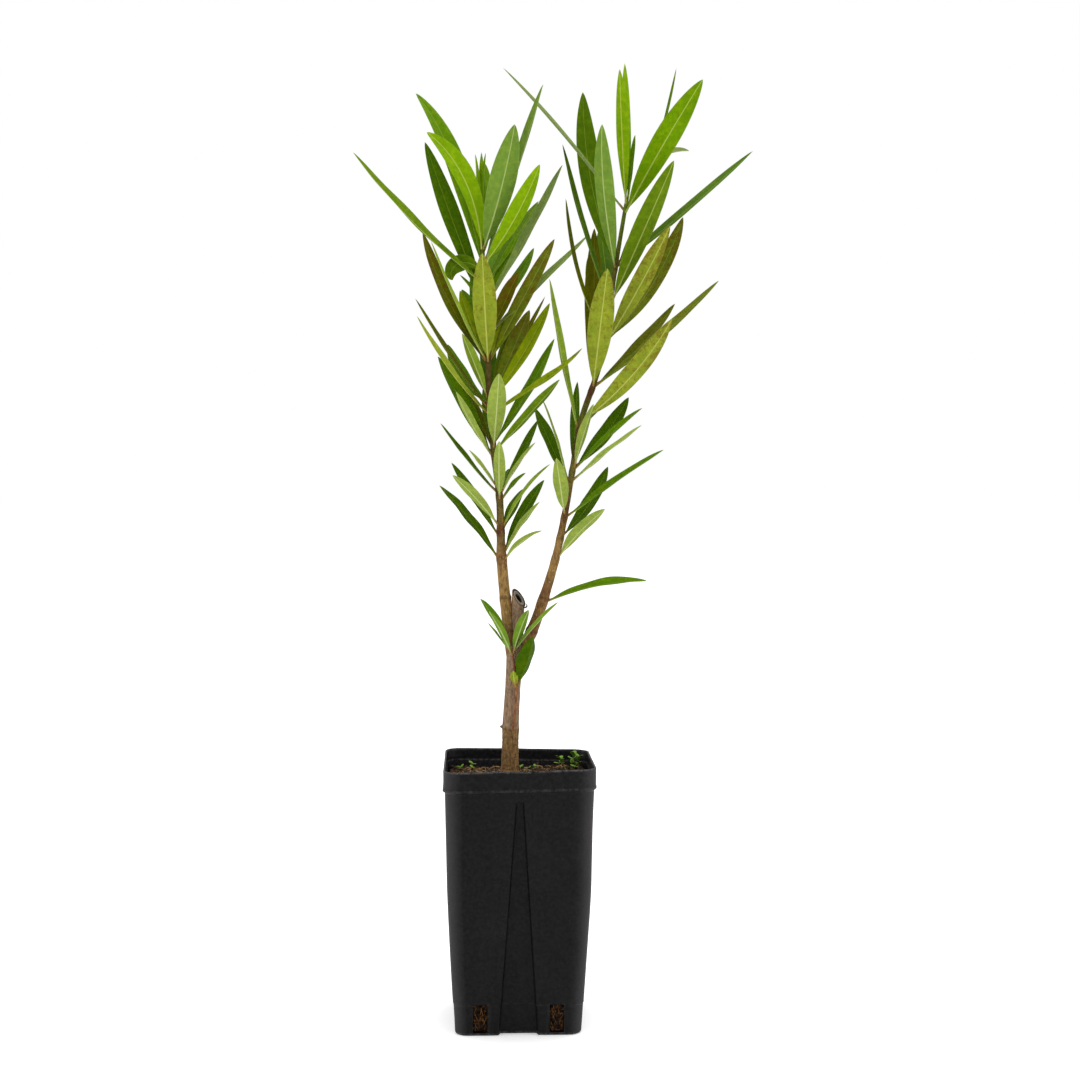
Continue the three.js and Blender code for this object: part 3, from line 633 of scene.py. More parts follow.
def pot_look():
    """Moulded black plastic: dust, scuffs and faint upright rub marks over a fine matte grain. The points
    keep wear where it is paler, which on the bead is a painted highlight line, a painted sheen on the
    corners, and painted shade in the pleats, which are darker."""
    look = Look("pot_black_plastic")
    place = look.place()
    cloud = look.noise(place, 28.0, 4.0)
    dust = look.noise(place, 420.0, 4.0, 0.7)
    rubbed = look.noise(look.stretch(place, (1.0, 1.0, 0.08)), 520.0, 3.0, 0.7)
    grain = look.noise(place, 3200.0, 2.0)
    speck = look.noise(place, 700.0, 2.0)
    veil = cloud.step(0.35, 0.8) * 0.35 + rubbed.step(0.58, 0.8) * 0.3 + dust.step(0.6, 0.85) * 0.35
    colour = look.mix(PLASTIC, PLASTIC_DUST, veil * 0.6)
    # Painted shade in the pleats, deeper towards their tops.
    colour = look.shade(colour, 1.0 - look.value("sunk") * 0.6)
    # A painted sheen on the outer corners.
    colour = look.mix(colour, PLASTIC_PAINTED_SHEEN, look.value("gloss") * (0.2 + cloud * 0.24))
    # Pale wear on edges, and on the bead a painted highlight line.
    colour = look.mix(colour, PLASTIC_WORN_AND_HIGHLIGHT, look.value("wear") * dust.step(0.3, 0.7))
    colour = look.mix(colour, SPLASH, speck.step(0.76, 0.8) * 0.5)
    normal = look.bump(grain * 0.4 + cloud * 0.6, 0.18, 0.6)
    return look.surface(colour, 0.46 + veil * 0.2 + grain * 0.06, 0.1, normal)


def soil_look(name, dark, light, orange):
    """Damp bark mix: dark crumbs, paler fibres and rusty flecks."""
    look = Look(name)
    place = look.place()
    crumb = look.noise(place, 420.0, 5.0, 0.7)
    fibre = look.noise(look.stretch(place, (1.0, 0.25, 0.6)), 900.0)
    deep = look.noise(place, 260.0, 4.0, 0.7)
    colour = look.mix(dark, light, crumb.step(0.42, 0.68))
    colour = look.mix(colour, orange, fibre.step(0.54, 0.66) * 0.85)
    colour = look.shade(colour, deep.step(0.34, 0.52) * 0.85 + 0.15)
    return look.surface(colour, 0.85, 0.12, look.bump(crumb, 1.2, 0.9))


def plain_look(name, colour, other, size, roughness):
    """Two close colours in cloudy patches of about this size in millimetres, with a fine grain."""
    look = Look(name)
    place = look.place()
    cloud = look.noise(place, 1.0 / (size * MM))
    grain = look.noise(place, 1800.0, 2.0)
    blend = look.shade(look.mix(colour, other, cloud.step(0.35, 0.68)), 0.8 + grain * 0.4)
    return look.surface(blend, roughness + grain * 0.1, 0.2, look.bump(grain, 0.2, 0.6))


def cut_look():
    """The sawn end of the leader: pale and dark rings about a hollow pith, by the distance from its middle
    that the points keep as ring."""
    look = Look("cut_wood")
    out = look.value("ring")
    cloud = look.noise(look.place(), 700.0, 4.0)
    rings = (out * 4.6 + cloud * 2.6).math("SINE")
    colour = look.mix(CUT_PALE, CUT_DARK, rings * 0.5 + cloud * 0.4)
    colour = look.mix(colour, PITH, (out + cloud * 0.5).step(2.9, 2.2))
    colour = look.mix(colour, CUT_BARK, (out + cloud * 0.4).step(3.6, 4.0) * 0.9)
    return look.surface(colour, 0.8, 0.15, look.bump(rings * 0.3 + cloud, 0.3, 0.8))


LEAF_ORDER = list(LEAF_KINDS)
LEAF_LOOKS = [leaf_look(kind, side) for kind in LEAF_ORDER for side in LEAF_SIDES]
TRUNK_LOOK = bark_look("trunk_bark", (154, 126, 98), (148, 114, 70), (182, 158, 124), 0.5)
SHOOT_LOOK = bark_look("shoot_bark", (154, 120, 66), (106, 124, 26), (196, 172, 124), 0.25)
SPRIG_LOOK = bark_look("sprig_bark", (164, 104, 64), (150, 100, 58), (196, 150, 100), 0.2)
POT_LOOK = pot_look()
SOIL_LOOK = soil_look("potting_mix", (34, 26, 20), (86, 64, 46), (128, 84, 44))
# A much darker copy of the potting mix for the plug's sides and some roots in the slots: painted shade.
SHADED_ROOT_LOOK = soil_look("root_mix_in_painted_shade", (5, 3, 2), (50, 32, 17), (110, 68, 28))
ROOT_FIBRE_LOOK = plain_look("root_fibre", (132, 88, 40), (34, 22, 12), 2.0, 0.8)
FIBRE_LOOK = plain_look("dry_fibre", (168, 134, 90), (112, 84, 54), 6.0, 0.8)
CHIP_LOOK = plain_look("bark_chip", (70, 50, 38), (36, 27, 22), 3.0, 0.85)
CUT_LOOK = cut_look()
WEED_STEM_LOOK = plain_look("seedling_stem", (150, 150, 70), (120, 104, 56), 3.0, 0.6)
WEED_LOOK = plain_look("seedling_green", (128, 172, 40), (84, 132, 30), 3.0, 0.55)

# ------------------------------------------------------------------------------- limbs


class Route:
    """A limb's middle line and radius, read by height: a cubic between knots, with each knot's slope taken
    from its two neighbours."""

    def __init__(self, points, radii):
        self.points = np.array(points, float)
        self.radii = np.array(radii, float)
        index = np.arange(len(self.points))
        before = self.points[np.maximum(index - 1, 0)]
        after = self.points[np.minimum(index + 1, len(index) - 1)]
        self.slopes = (after - before) / (after - before)[:, 2:]

    def read(self, heights):
        """Middle points and radii at these heights."""
        heights = np.atleast_1d(np.asarray(heights, float))
        level = self.points[:, 2]
        low = np.clip(np.searchsorted(level, heights, side="right") - 1, 0, len(level) - 2)
        span = (level[low + 1] - level[low])[:, None]
        t = (heights - level[low])[:, None] / span
        middle = (
            (2 * t**3 - 3 * t**2 + 1) * self.points[low]
            + (t**3 - 2 * t**2 + t) * span * self.slopes[low]
            + (3 * t**2 - 2 * t**3) * self.points[low + 1]
            + (t**3 - t**2) * span * self.slopes[low + 1]
        )
        middle[:, 2] = heights
        share = np.clip(t[:, 0], 0.0, 1.0)
        return middle, self.radii[low] * (1 - share) + self.radii[low + 1] * share


def shoot_route(shoot):
    """Growth steps added up into a route: each goes up by its rise and aside by the tangents of its leans."""
    foot, radius, steps = shoot
    points = [np.array(foot, float)]
    radii = [radius]
    for rise, lean_x, lean_y, end_radius in steps:
        move = (math.tan(math.radians(lean_x)) * rise, math.tan(math.radians(lean_y)) * rise, rise)
        points.append(points[-1] + move)
        radii.append(end_radius)
    return Route(points, radii)


def rings_about(middle, along, across, radii, sides):
    """Rings about a middle line: middle + radius (cos a across + sin a other), with the other direction
    square to along and across. radii has one number for each ring or for each of its corners."""
    other = np.cross(along, across)
    angle = turns_of(sides)
    radii = np.broadcast_to(np.asarray(radii, float).reshape(len(middle), -1), (len(middle), sides))
    spoke = np.cos(angle)[None, :, None] * across[:, None] + np.sin(angle)[None, :, None] * other[:, None]
    return middle[:, None] + radii[..., None] * spoke


def limb_rings(middle, radii, sides):
    """Rings square to the middle line of a limb that climbs, starting on its +X side."""
    along = unit(np.gradient(middle, axis=0))
    across = unit(np.array([1.0, 0.0, 0.0]) - along * along[:, :1])
    return rings_about(middle, along, across, radii, sides)


def thread_rings(middle, radii, sides):
    """Rings square to the middle line of a thread, starting on a side square to +Y."""
    along = unit(np.gradient(middle, axis=0))
    across = unit(np.cross(np.array([0.0, 1.0, 0.0]), along))
    return rings_about(middle, along, across, radii, sides)


LEFT_ROUTE = shoot_route(LEFT_SHOOT)
RIGHT_ROUTE = shoot_route(RIGHT_SHOOT)
SPRIG_LINE = Route(SPRIG_ROUTE, [SPRIG_RADIUS] * len(SPRIG_ROUTE))

# ------------------------------------------------------------------------------- leaves

# A leaf's columns, from one margin over the midrib to the other, and its rows, as shares.
HALF_ACROSS = np.array([1.0, 0.965, 0.82, 0.58, 0.33, 0.12, 0.0])
LEAF_ACROSS = np.concatenate([HALF_ACROSS, -HALF_ACROSS[-2::-1]])
LEAF_ROWS = np.concatenate([
    [0.0, 0.012, 0.03, 0.05, 0.075],
    np.linspace(0.1, 0.94, 24),
    [0.965, 0.985, 1.0],
])
LEAF_BASE_POWER = 0.85
LEAF_TIP_POWER = 0.76
# A stalk is this long, or this share of a short leaf.
STALK_LENGTH = 6.5
STALK_SHARE = 0.16
STALK_HALF = 0.85
LEAST_HALF = 0.06
BLADE_THICK = 0.42
STALK_THICKER = 1.1
# How far the midrib stands out below, or is sunk above, and how wide it is there.
RIB = (0.75, 0.75)
GROOVE = (0.16, 0.5)
# What a leaf gets by chance, where its row doesn't say: sweep, twist, fold, height of its waves and, for
# every leaf, how many there are.
SWEEPS = (-4, 4)
TWISTS = (-6, 6)
FOLDS = (16, 26)
WAVES = (0.15, 0.55)
WAVE_COUNTS = (1.2, 2.6)


def leaf_outline(share):
    """Half width of a blade as a share of its greatest: s to one power times (1 - s) to a smaller one."""
    widest = LEAF_BASE_POWER / (LEAF_BASE_POWER + LEAF_TIP_POWER)
    most = widest**LEAF_BASE_POWER * (1.0 - widest) ** LEAF_TIP_POWER
    return share**LEAF_BASE_POWER * (1.0 - share) ** LEAF_TIP_POWER / most


def leaf_midrib(foot, row, more, rng):
    """A leaf's midrib and the directions up and side of its blade. The midrib is an arc: its lean runs from
    that at the foot to that at the tip, and its turn grows by the sweep times the share squared. The blade
    is rolled about it, and twisted by the twist times the share."""
    _, turn, lean, tip_lean, length, _, roll = row[:7]
    share = LEAF_ROWS
    tilt = np.radians(lean + (tip_lean - lean) * share ** more.get("bend", 1.0))
    bearing = np.radians(turn + more.get("sweep", rng.uniform(*SWEEPS)) * share**2)
    along = heading(tilt, bearing)
    steps = np.diff(share)[:, None] * length * (along[1:] + along[:-1]) / 2
    middle = foot + np.concatenate([np.zeros((1, 3)), np.cumsum(steps, axis=0)])
    facing = heading(tilt - np.pi / 2, bearing)
    across = np.cross(along, facing)
    turned = np.radians(roll + more.get("twist", rng.uniform(*TWISTS)) * share)[:, None]
    up = facing * np.cos(turned) + across * np.sin(turned)
    return middle, up, np.cross(along, up)


def both_sides(lower, upper):
    """The columns of a leaf's underside from margin to margin, then those of its upper side back again."""
    return np.concatenate([lower, upper[:, -2:0:-1]], axis=1)


def leaf_rings(foot, row, rng):
    """A leaf as closed rings, with the values that its look reads. The blade is a shallow V with margins
    that curl back a little and wave, with a rib below and a groove above, on a thicker stalk."""
    length, width = row[4:6]
    more = row[8] if len(row) > 8 else {}
    middle, up, side = leaf_midrib(foot, row, more, rng)
    share = LEAF_ROWS[:, None]
    s = LEAF_ACROSS[None]

    stalk = min(STALK_LENGTH / length, STALK_SHARE)
    blade = np.clip((share - stalk * 0.6) / (1 - stalk * 0.6), 0, 1)
    slim = 1.0 - 0.25 * ramp(0.0, stalk, share)
    half = np.maximum(width / 2 * leaf_outline(blade), STALK_HALF * slim * ramp(1.01, 0.93, share))
    half = np.maximum(half, LEAST_HALF)
    off = half * s
    fold = math.radians(more.get("fold", rng.uniform(*FOLDS)))
    reach = off * math.cos(fold)
    lift = half * ((np.sqrt(s**2 + 0.02) - 0.14) * math.sin(fold) - 0.1 * s**4)
    waves = rng.uniform(*WAVE_COUNTS)
    phase = rng.uniform(0, 2 * np.pi, 2)
    swing = np.sin(2 * np.pi * waves * share + np.where(s > 0, phase[0], phase[1]))
    lift += more.get("wave", rng.uniform(*WAVES)) * s**2 * swing * np.sin(np.pi * share)

    stem = ramp(stalk * 1.6, stalk * 0.5, share)
    thick = (BLADE_THICK + STALK_THICKER * stem) * (1 - s**6) * ramp(1.02, 0.9, share) + 0.02
    rib = RIB[0] * (1 - 0.75 * share) * bell(off, 0.0, RIB[1]) * (1 - stem)
    groove = GROOVE[0] * bell(off, 0.0, GROOVE[1]) * (1 - stem)
    sheet = middle[:, None] + side[:, None] * reach[..., None]
    lower = sheet + up[:, None] * (lift - thick / 2 - rib)[..., None]
    upper = sheet + up[:, None] * (lift + thick / 2 - groove)[..., None]
    spread = both_sides(off, off)
    edge = np.broadcast_to(np.abs(s), off.shape)
    values = {
        "leaf": np.stack(np.broadcast_arrays(spread, share * length, share), axis=-1),
        "edge": both_sides(edge, edge),
        "tinge": np.full(spread.shape, more.get("tinge", 0.0)),
    }
    return both_sides(lower, upper), values


def add_leaf(shape, route, row, cell, rng):
    """One leaf on a route, its foot in the bark on the side that the leaf points to."""
    middle, radius = route.read(row[0])
    foot = middle[0] + 0.7 * radius[0] * heading(np.pi / 2, math.radians(row[1]))
    rings, values = leaf_rings(foot, row, rng)
    corners = rings.shape[1]
    under = 2 * LEAF_ORDER.index(row[7])
    look = np.where(np.arange(corners) < corners // 2, under, under + 1)
    shape.loft(rings, look, cell, **values)


def add_whorl(name, route, rows, seed):
    """All the leaves of one whorl, joined into the piece that stands for that node."""
    shape = Shape()
    wide = 1.0 / len(rows)
    for place, row in enumerate(rows):
        rng = np.random.default_rng([seed, place])
        add_leaf(shape, route, row, ((place + 0.02) * wide, 0.01, 0.96 * wide, 0.98), rng)
    make_piece(name + "_foliage", shape, LEAF_LOOKS, [name])


def add_crown():
    """Every whorl and tip tuft of both shoots, and the sprig's leaves."""
    groups = [
        ("left", LEFT_ROUTE, LEFT_WHORLS, LEFT_FILLING, LEFT_TIP),
        ("right", RIGHT_ROUTE, RIGHT_WHORLS, {}, RIGHT_TIP),
    ]
    for number, (side, route, whorls, filling, tip) in enumerate(groups):
        for place, rows in enumerate(whorls, 1):
            leaves = rows + filling.get(place, [])
            add_whorl(f"{side}_whorl_{place:02d}", route, leaves, 100 * number + place)
        add_whorl(f"{side}_tip_tuft", route, tip, 100 * number + 50)
    add_whorl("sprig_leaves", SPRIG_LINE, SPRIG_TOP, 301)
    add_whorl("sprig_broad_leaf", SPRIG_LINE, SPRIG_LOW + [SPRIG_BRACT], 302)


# ------------------------------------------------------------------------- woody pieces

TRUNK_FOOT = np.array([-5.2, 0.0, 167.4])
TRUNK_TOP = np.array([-2.5, 0.0, 257.0])
TRUNK_ROWS = 260
TRUNK_SIDES = 80
TRUNK_SWAY = 0.5
# The trunk's radius at shares of its height.
TRUNK_RADII = [
    (0, 6.8),
    (0.05, 6.05),
    (0.14, 5.8),
    (0.32, 5.7),
    (0.36, 5.85),
    (0.4, 5.7),
    (0.66, 5.35),
    (0.86, 5.45),
    (1, 5.7),
]
# Where the pale ring is, as a share of the trunk's height.
SCAR_SHARE = 0.365
# How far the trunk's ridges, crust, ring and dead bud stand out.
TRUNK_RIDGES = 0.2
CRUST_DEEP = 0.22
SCAR_DEEP = 0.14
BUD_DEEP = 1.7


def bark_relief(rings, depth, seed):
    """How far bark stands out: ridges long in Z and narrow across, and lumps."""
    long = rings * np.array([1.0, 1.0, 0.12])
    ridges = lumps(long, 1.6, seed) * 0.6 + lumps(long, 0.8, seed + 1) * 0.4
    return depth * (ridges + 0.7 * lumps(rings, 6.0, seed + 2))


def add_trunk():
    """The trunk: a tapering limb that sways a little as a sine, with upright ridges, rougher below a broken
    pale ring at a third of its height, with a dead bud on the left of the ring."""
    share = rows_of(TRUNK_ROWS)
    radius = np.interp(share, *np.transpose(TRUNK_RADII))
    middle = TRUNK_FOOT + share[:, None] * (TRUNK_TOP - TRUNK_FOOT)
    middle[:, 0] -= TRUNK_SWAY * np.sin(share * 5.0)
    rings = limb_rings(middle, radius, TRUNK_SIDES)
    level = share[:, None] + 0.006 * lumps(rings, 4.0, 14)
    rough = ramp(SCAR_SHARE + 0.01, SCAR_SHARE - 0.02, level)
    crust = lumps(rings * (1.0, 1.0, 1.6), 1.5, 15)
    scar = bell(level, SCAR_SHARE, 0.005)
    left_side = bell(np.cos(turns_of(TRUNK_SIDES)), -1.0, 0.09)
    bud = bell(share[:, None], SCAR_SHARE + 0.005, 0.01) * left_side
    relief = bark_relief(rings, TRUNK_RIDGES, 11) + CRUST_DEEP * rough * crust
    relief += SCAR_DEEP * scar + BUD_DEEP * bud
    rings = limb_rings(middle, radius[:, None] + relief, TRUNK_SIDES)
    broken = scar * ramp(-0.2, 0.5, lumps(rings, 2.2, 16))
    # A painted shade line just under the pale ring.
    shade = bell(level, SCAR_SHARE - 0.012, 0.005)
    shape = Shape()
    shape.loft(
        rings,
        age=np.clip(1.0 - rough + 0.6 * broken, 0, 1),
        blush=0.12 * (1 - rough) * ramp(-0.3, 0.8, lumps(rings, 7.0, 17)),
        dark=np.clip(0.75 * bud + 0.3 * rough * ramp(0.1, 0.8, -crust) + 0.3 * shade, 0, 0.8),
    )
    make_piece("trunk_with_bark", shape, [TRUNK_LOOK], ["trunk"])


# Where a shoot is flushed with red-brown: (height, reach up and down, strength).
LEFT_BLUSH = [
    (262, 12, 0.5),
    (318, 9, 0.5),
    (337, 7, 0.8),
    (372, 22, 0.9),
    (425, 26, 1.0),
    (470, 22, 0.9),
    (520, 30, 0.6),
]
RIGHT_BLUSH = [
    (272, 13, 0.6),
    (296, 8, 0.7),
    (352, 16, 0.9),
    (398, 20, 1.0),
    (434, 12, 1.0),
    (480, 26, 1.0),
    (524, 20, 0.6),
]
# Heights between which the flushes fade out.
BLUSH_FADES = (505.0, 565.0)
SHOOT_ROWS = 480
SHOOT_SIDES = 40
SHOOT_RIDGES = 0.07
# The swelling and the dark ring under a whorl, and a leaf scar: (how far out, reach up and down).
SWELLING = (0.3, 2.6)
NODE_RING = (-0.06, 0.45)
LEAF_SCAR = (0.35, 1.1)
# Old leaf scars low on a shoot: how far above its foot, and their turns in radians, two to a height.
SCAR_RISES = (18.0, 41.0)
SCAR_TURNS = (-2.6, -0.9, -1.9, 0.1)


def add_shoot(name, route, whorls, seed, green_from, blushes):
    """A shoot: a slender limb with fine streaks, a swelling and a thin dark ring under each whorl, old leaf
    scars low down and flushes of red-brown. It turns from brown to green about green_from."""
    low, high = route.points[0, 2], route.points[-1, 2]
    heights = np.linspace(low - 4, high + 0.8, SHOOT_ROWS)
    middle, radius = route.read(heights)
    scars = low + np.array(SCAR_RISES)
    whorl_heights = [np.median([row[0] for row in rows]) for rows in whorls]
    gap = heights[:, None] - np.concatenate([scars, whorl_heights]) + 2.0
    swell = bell(gap, 0.0, SWELLING[1]).sum(axis=1)
    ring = bell(gap, 0.0, NODE_RING[1]).sum(axis=1)[:, None]
    radius = (radius + SWELLING[0] * swell) * ramp(high + 1.5, high - 1.0, heights) + 0.1
    rings = limb_rings(middle, radius, SHOOT_SIDES)
    spot = np.zeros(rings.shape[:2])
    for at, turn in zip(np.repeat(scars, 2), SCAR_TURNS):
        facing = bell(np.cos(turns_of(SHOOT_SIDES) - turn), 1.0, 0.22)
        spot += bell(heights[:, None], at - 1.0, LEAF_SCAR[1]) * facing
    relief = bark_relief(rings, SHOOT_RIDGES, seed) + NODE_RING[0] * ring + LEAF_SCAR[0] * spot
    rings = limb_rings(middle, radius[:, None] + relief, SHOOT_SIDES)
    level = heights[:, None] + 3.0 * lumps(rings, 5.0, seed + 5)
    flush = sum(strength * bell(level, at, reach) for at, reach, strength in blushes)
    fade, gone = BLUSH_FADES
    shape = Shape()
    shape.loft(
        rings,
        age=ramp(green_from + 25, green_from - 60, level),
        blush=np.clip(flush, 0, 1) * ramp(gone, fade, level) + 0.1 * swell[:, None],
        dark=np.clip(0.2 * ring + 0.6 * spot, 0, 0.7),
    )
    make_piece(name + "_with_bark", shape, [SHOOT_LOOK], [name])


# The cut-back leader: its foot, how far its middle line runs, on past the cut, and its radius at both ends.
STUB_FOOT = np.array([-2.5, 0.0, 254.0])
STUB_RUN = np.array([3.5, 0.4, 48.0])
STUB_RADII = (5.3, 4.35)
STUB_SIDES = 56
CUT_MIDDLE = np.array([1.6, 0.0, 288.8])
CUT_FACING = unit(np.array([0.6, -0.55, 0.6]))
CUT_REACH = 4.6
# The distance from the middle that is kept on points off the cut face: further out than all of it.
OFF_THE_CUT = 9.0
# The cut face from its rim in to the floor of the pith: (share of the rim's reach, height above the cut).
CUT_PROFILE = [
    (0.985, 0.25),
    (0.94, 0.3),
    (0.9, 0.1),
    (0.86, -0.3),
    (0.8, -0.15),
    (0.73, 0.05),
    (0.66, 0.1),
    (0.58, 0.05),
    (0.52, -0.1),
    (0.47, -0.5),
    (0.44, -1.2),
    (0.4, -2.4),
    (0.33, -4.0),
    (0.2, -5.2),
    (0.08, -5.6),
]
# The torn curl of bark: radius of its arc, the angle it starts from and the angle it turns by.
CURL_RADIUS = 1.25
CURL_START = 190.0
CURL_TURN = 235.0


def curl_rings():
    """The torn curl of bark on the low side of the cut: a tapering thread on an arc that drifts to +Y."""
    low_side = unit(CUT_FACING * CUT_FACING[2] - np.array([0.0, 0.0, 1.0]))
    start = CUT_MIDDLE + low_side * CUT_REACH * 1.2
    bend = rows_of(24)[:, None]
    turn = bend * math.radians(CURL_TURN) + math.radians(CURL_START)
    arc = np.concatenate([np.cos(turn) + 0.98, 0.9 * bend - 0.3, np.sin(turn) + 0.1], axis=1)
    return thread_rings(start + CURL_RADIUS * arc, 0.42 * ramp(1.1, 0.6, bend[:, 0]) + 0.08, 10)


def add_stub():
    """The cut-back leader: a short limb whose middle line leans out with the square root of the share and
    whose top rings lie on the slanting cut, a cut face with a hollow pith, and a torn curl of bark."""
    share = rows_of(70)
    middle = STUB_FOOT + STUB_RUN * np.stack([np.sqrt(share), share, share], axis=-1)
    radius = STUB_RADII[0] + (STUB_RADII[1] - STUB_RADII[0]) * np.sqrt(share)
    rings = limb_rings(middle, radius, STUB_SIDES)
    rings = limb_rings(middle, radius[:, None] + bark_relief(rings, 0.16, 31), STUB_SIDES)
    above = (rings - CUT_MIDDLE) @ CUT_FACING
    rings[..., 2] -= np.clip(above / CUT_FACING[2], 0, None)
    rim = rings[-1]
    centre = rim.mean(axis=0)
    face = []
    for portion, rise in CUT_PROFILE:
        flat = centre + (rim - centre) * portion
        rough = 0.12 * lumps(flat, 1.2, 35)[:, None]
        face.append(flat + CUT_FACING * (rise + rough))
    full = np.concatenate([rings, np.array(face)])
    out = np.concatenate([np.full(len(rings), OFF_THE_CUT), [CUT_REACH * at for at, _ in CUT_PROFILE]])
    whole = np.ones(full.shape[:2])
    dark = np.zeros(full.shape[:2])
    dark[len(rings) - 2 : len(rings) + 2] = 0.55
    look = np.where(np.arange(len(full) - 1) <= len(rings), 0, 1)[:, None]
    kept = {"ring": out[:, None] * whole, "age": whole, "blush": 0.0 * whole, "dark": dark}
    shape = Shape()
    shape.loft(full, look, (0.0, 0.0, 0.9, 1.0), **kept)
    curl = curl_rings()
    whole = np.ones(curl.shape[:2])
    kept = {"ring": OFF_THE_CUT * whole, "age": whole, "blush": 0.0 * whole, "dark": 0.8 * whole}
    shape.loft(curl, 0, (0.92, 0.0, 0.08, 1.0), **kept)
    make_piece("cut_leader", shape, [TRUNK_LOOK, CUT_LOOK], ["cut_stub"])


# The sprig's stem: its foot and top, and the joint where its lower leaf stands.
SPRIG_LEVELS = (199.5, 255.5)
SPRIG_JOINT = 234.0


def add_sprig_stem():
    """The thin reddish stem that runs up the front of the trunk, thicker at its foot and at a joint with a
    dark ring, where its lower leaf stands."""
    heights = np.linspace(*SPRIG_LEVELS, 110)
    middle, radius = SPRIG_LINE.read(heights)
    radius = radius + 0.35 * bell(heights, SPRIG_JOINT, 1.5) + 0.3 * bell(heights, SPRIG_LEVELS[0], 2.5)
    rings = limb_rings(middle, radius, 16)
    rings = limb_rings(middle, radius[:, None] + 0.08 * lumps(rings, 2.0, 41), 16)
    level = np.broadcast_to(heights[:, None], rings.shape[:2])
    shape = Shape()
    shape.loft(
        rings,
        age=ramp(250, 215, level),
        blush=0.25 + 0.5 * bell(level, 244, 8),
        dark=0.4 * bell(level, SPRIG_JOINT - 1.0, 0.6),
    )
    make_piece("sprig_stem_with_bark", shape, [SPRIG_LOOK], ["sprig_stem"])


# ----------------------------------------------------------------------------- the pot

RIM_FOOT = 164.0
LIP = 178.0
WALL = 1.3
FOOT_HALF = 42.8
FOOT_ROUND = 1.6
SHOULDER_HALF = 50.3
BULGE = 1.0
RIM_HALF = 51.3
LIP_HALF = 51.4
# Radius of the upright corners at the foot and at the rim.
CORNER_RADII = (9.0, 12.0)
# How far the walls stand to +X at the foot, and how much more at the lip.
ASIDE = (-0.3, 1.0)
# The foot of the wall stands back by STEP_IN, up to a step between these heights.
STEP_FOOT = 20.3
STEP_HEAD = 20.7
STEP_IN = 0.35
# A slot's place across its face, and the heights of its rows.
SLOT_NEAR, SLOT_FAR = 20.75, 30.45
SLOT_LEVELS = np.array([2.0, 4.2, 6.6, 9.0, 11.4, 13.8, 16.2, 18.4, STEP_FOOT, STEP_HEAD, 21.0])
# The pleats: where they end, and their width and depth at the foot and at that height.
PLEAT_TOP = 155.0
PLEAT_RUN_OUT = 4.0
PLEAT_WIDE = (27.0, 6.2)
PLEAT_DEEP = (4.5, 2.4)
PLEAT_COLUMNS = 6
# How wide the slope from a pleat's mouth to its floor is, and the least half width of that floor.
PLEAT_SLOPE = 1.3
LEAST_FLOOR = 0.4
CORNER_STEPS = 12
LEAST_ROUND = 0.6
# Columns across half a face: the stretch between two named places, and how many columns it has.
HALF_FACE = [
    ("edge", "far", 5),
    ("far", "near", 4),
    ("near", "mouth", 3),
    ("mouth", "groove", 3),
    ("groove", "middle", 4),
]
HALF_COLUMNS = [(low, high, step / count) for low, high, count in HALF_FACE for step in range(count)]
EDGE_COLUMNS = HALF_FACE[0][2]
SLOT_COLUMNS = HALF_FACE[1][2]
FACE_COLUMNS = 2 * len(HALF_COLUMNS) + CORNER_STEPS
# Rows of the rim as (height, how far in, wear): the bead at its foot, the lip, and the ledge inside it. On
# the bead, the wear paints a highlight line.
BEAD = [
    (163.8, 0.08, 0.05),
    (164.1, -0.4, 0.15),
    (164.9, -0.4, 0.22),
    (165.6, -0.35, 0.3),
    (166.0, -0.1, 0.1),
]
LIP_ROWS = [
    (177.3, 0.02, 0.5),
    (177.75, 0.2, 0.8),
    (LIP, 0.5, 0.9),
    (LIP, 0.8, 0.9),
    (177.75, 1.1, 0.8),
    (177.3, 1.3, 0.5),
]
LEDGE = [
    (170.4, 0.0, 0.3),
    (169.8, 0.35, 0.7),
    (169.2, 0.35, 0.3),
    (166.0, 0.2, 0.1),
]
# Wear that shows a little on plain walls, and on the sharp edges of the slots.
PLAIN_WEAR = 0.05
SLOT_WEAR = 0.12
# How many rows before the last one inside have no painted sheen.
UNSHEENED_ROWS = 30


def wall_half(z):
    """Half the pot's width at a height: a straight taper with a bulge of a sine half way up."""
    share = z / RIM_FOOT
    return FOOT_HALF + (SHOULDER_HALF - FOOT_HALF) * share + BULGE * np.sin(np.pi * share)


def corner_radius(z):
    """Radius of the upright corners at a height."""
    return CORNER_RADII[0] + (CORNER_RADII[1] - CORNER_RADII[0]) * z / RIM_FOOT


def quarter_turn(face):
    """The matrix that turns the +X face to face number 0, 1, 2 or 3, anticlockwise."""
    angle = math.radians(90 * face)
    return np.array([[math.cos(angle), -math.sin(angle)], [math.sin(angle), math.cos(angle)]])


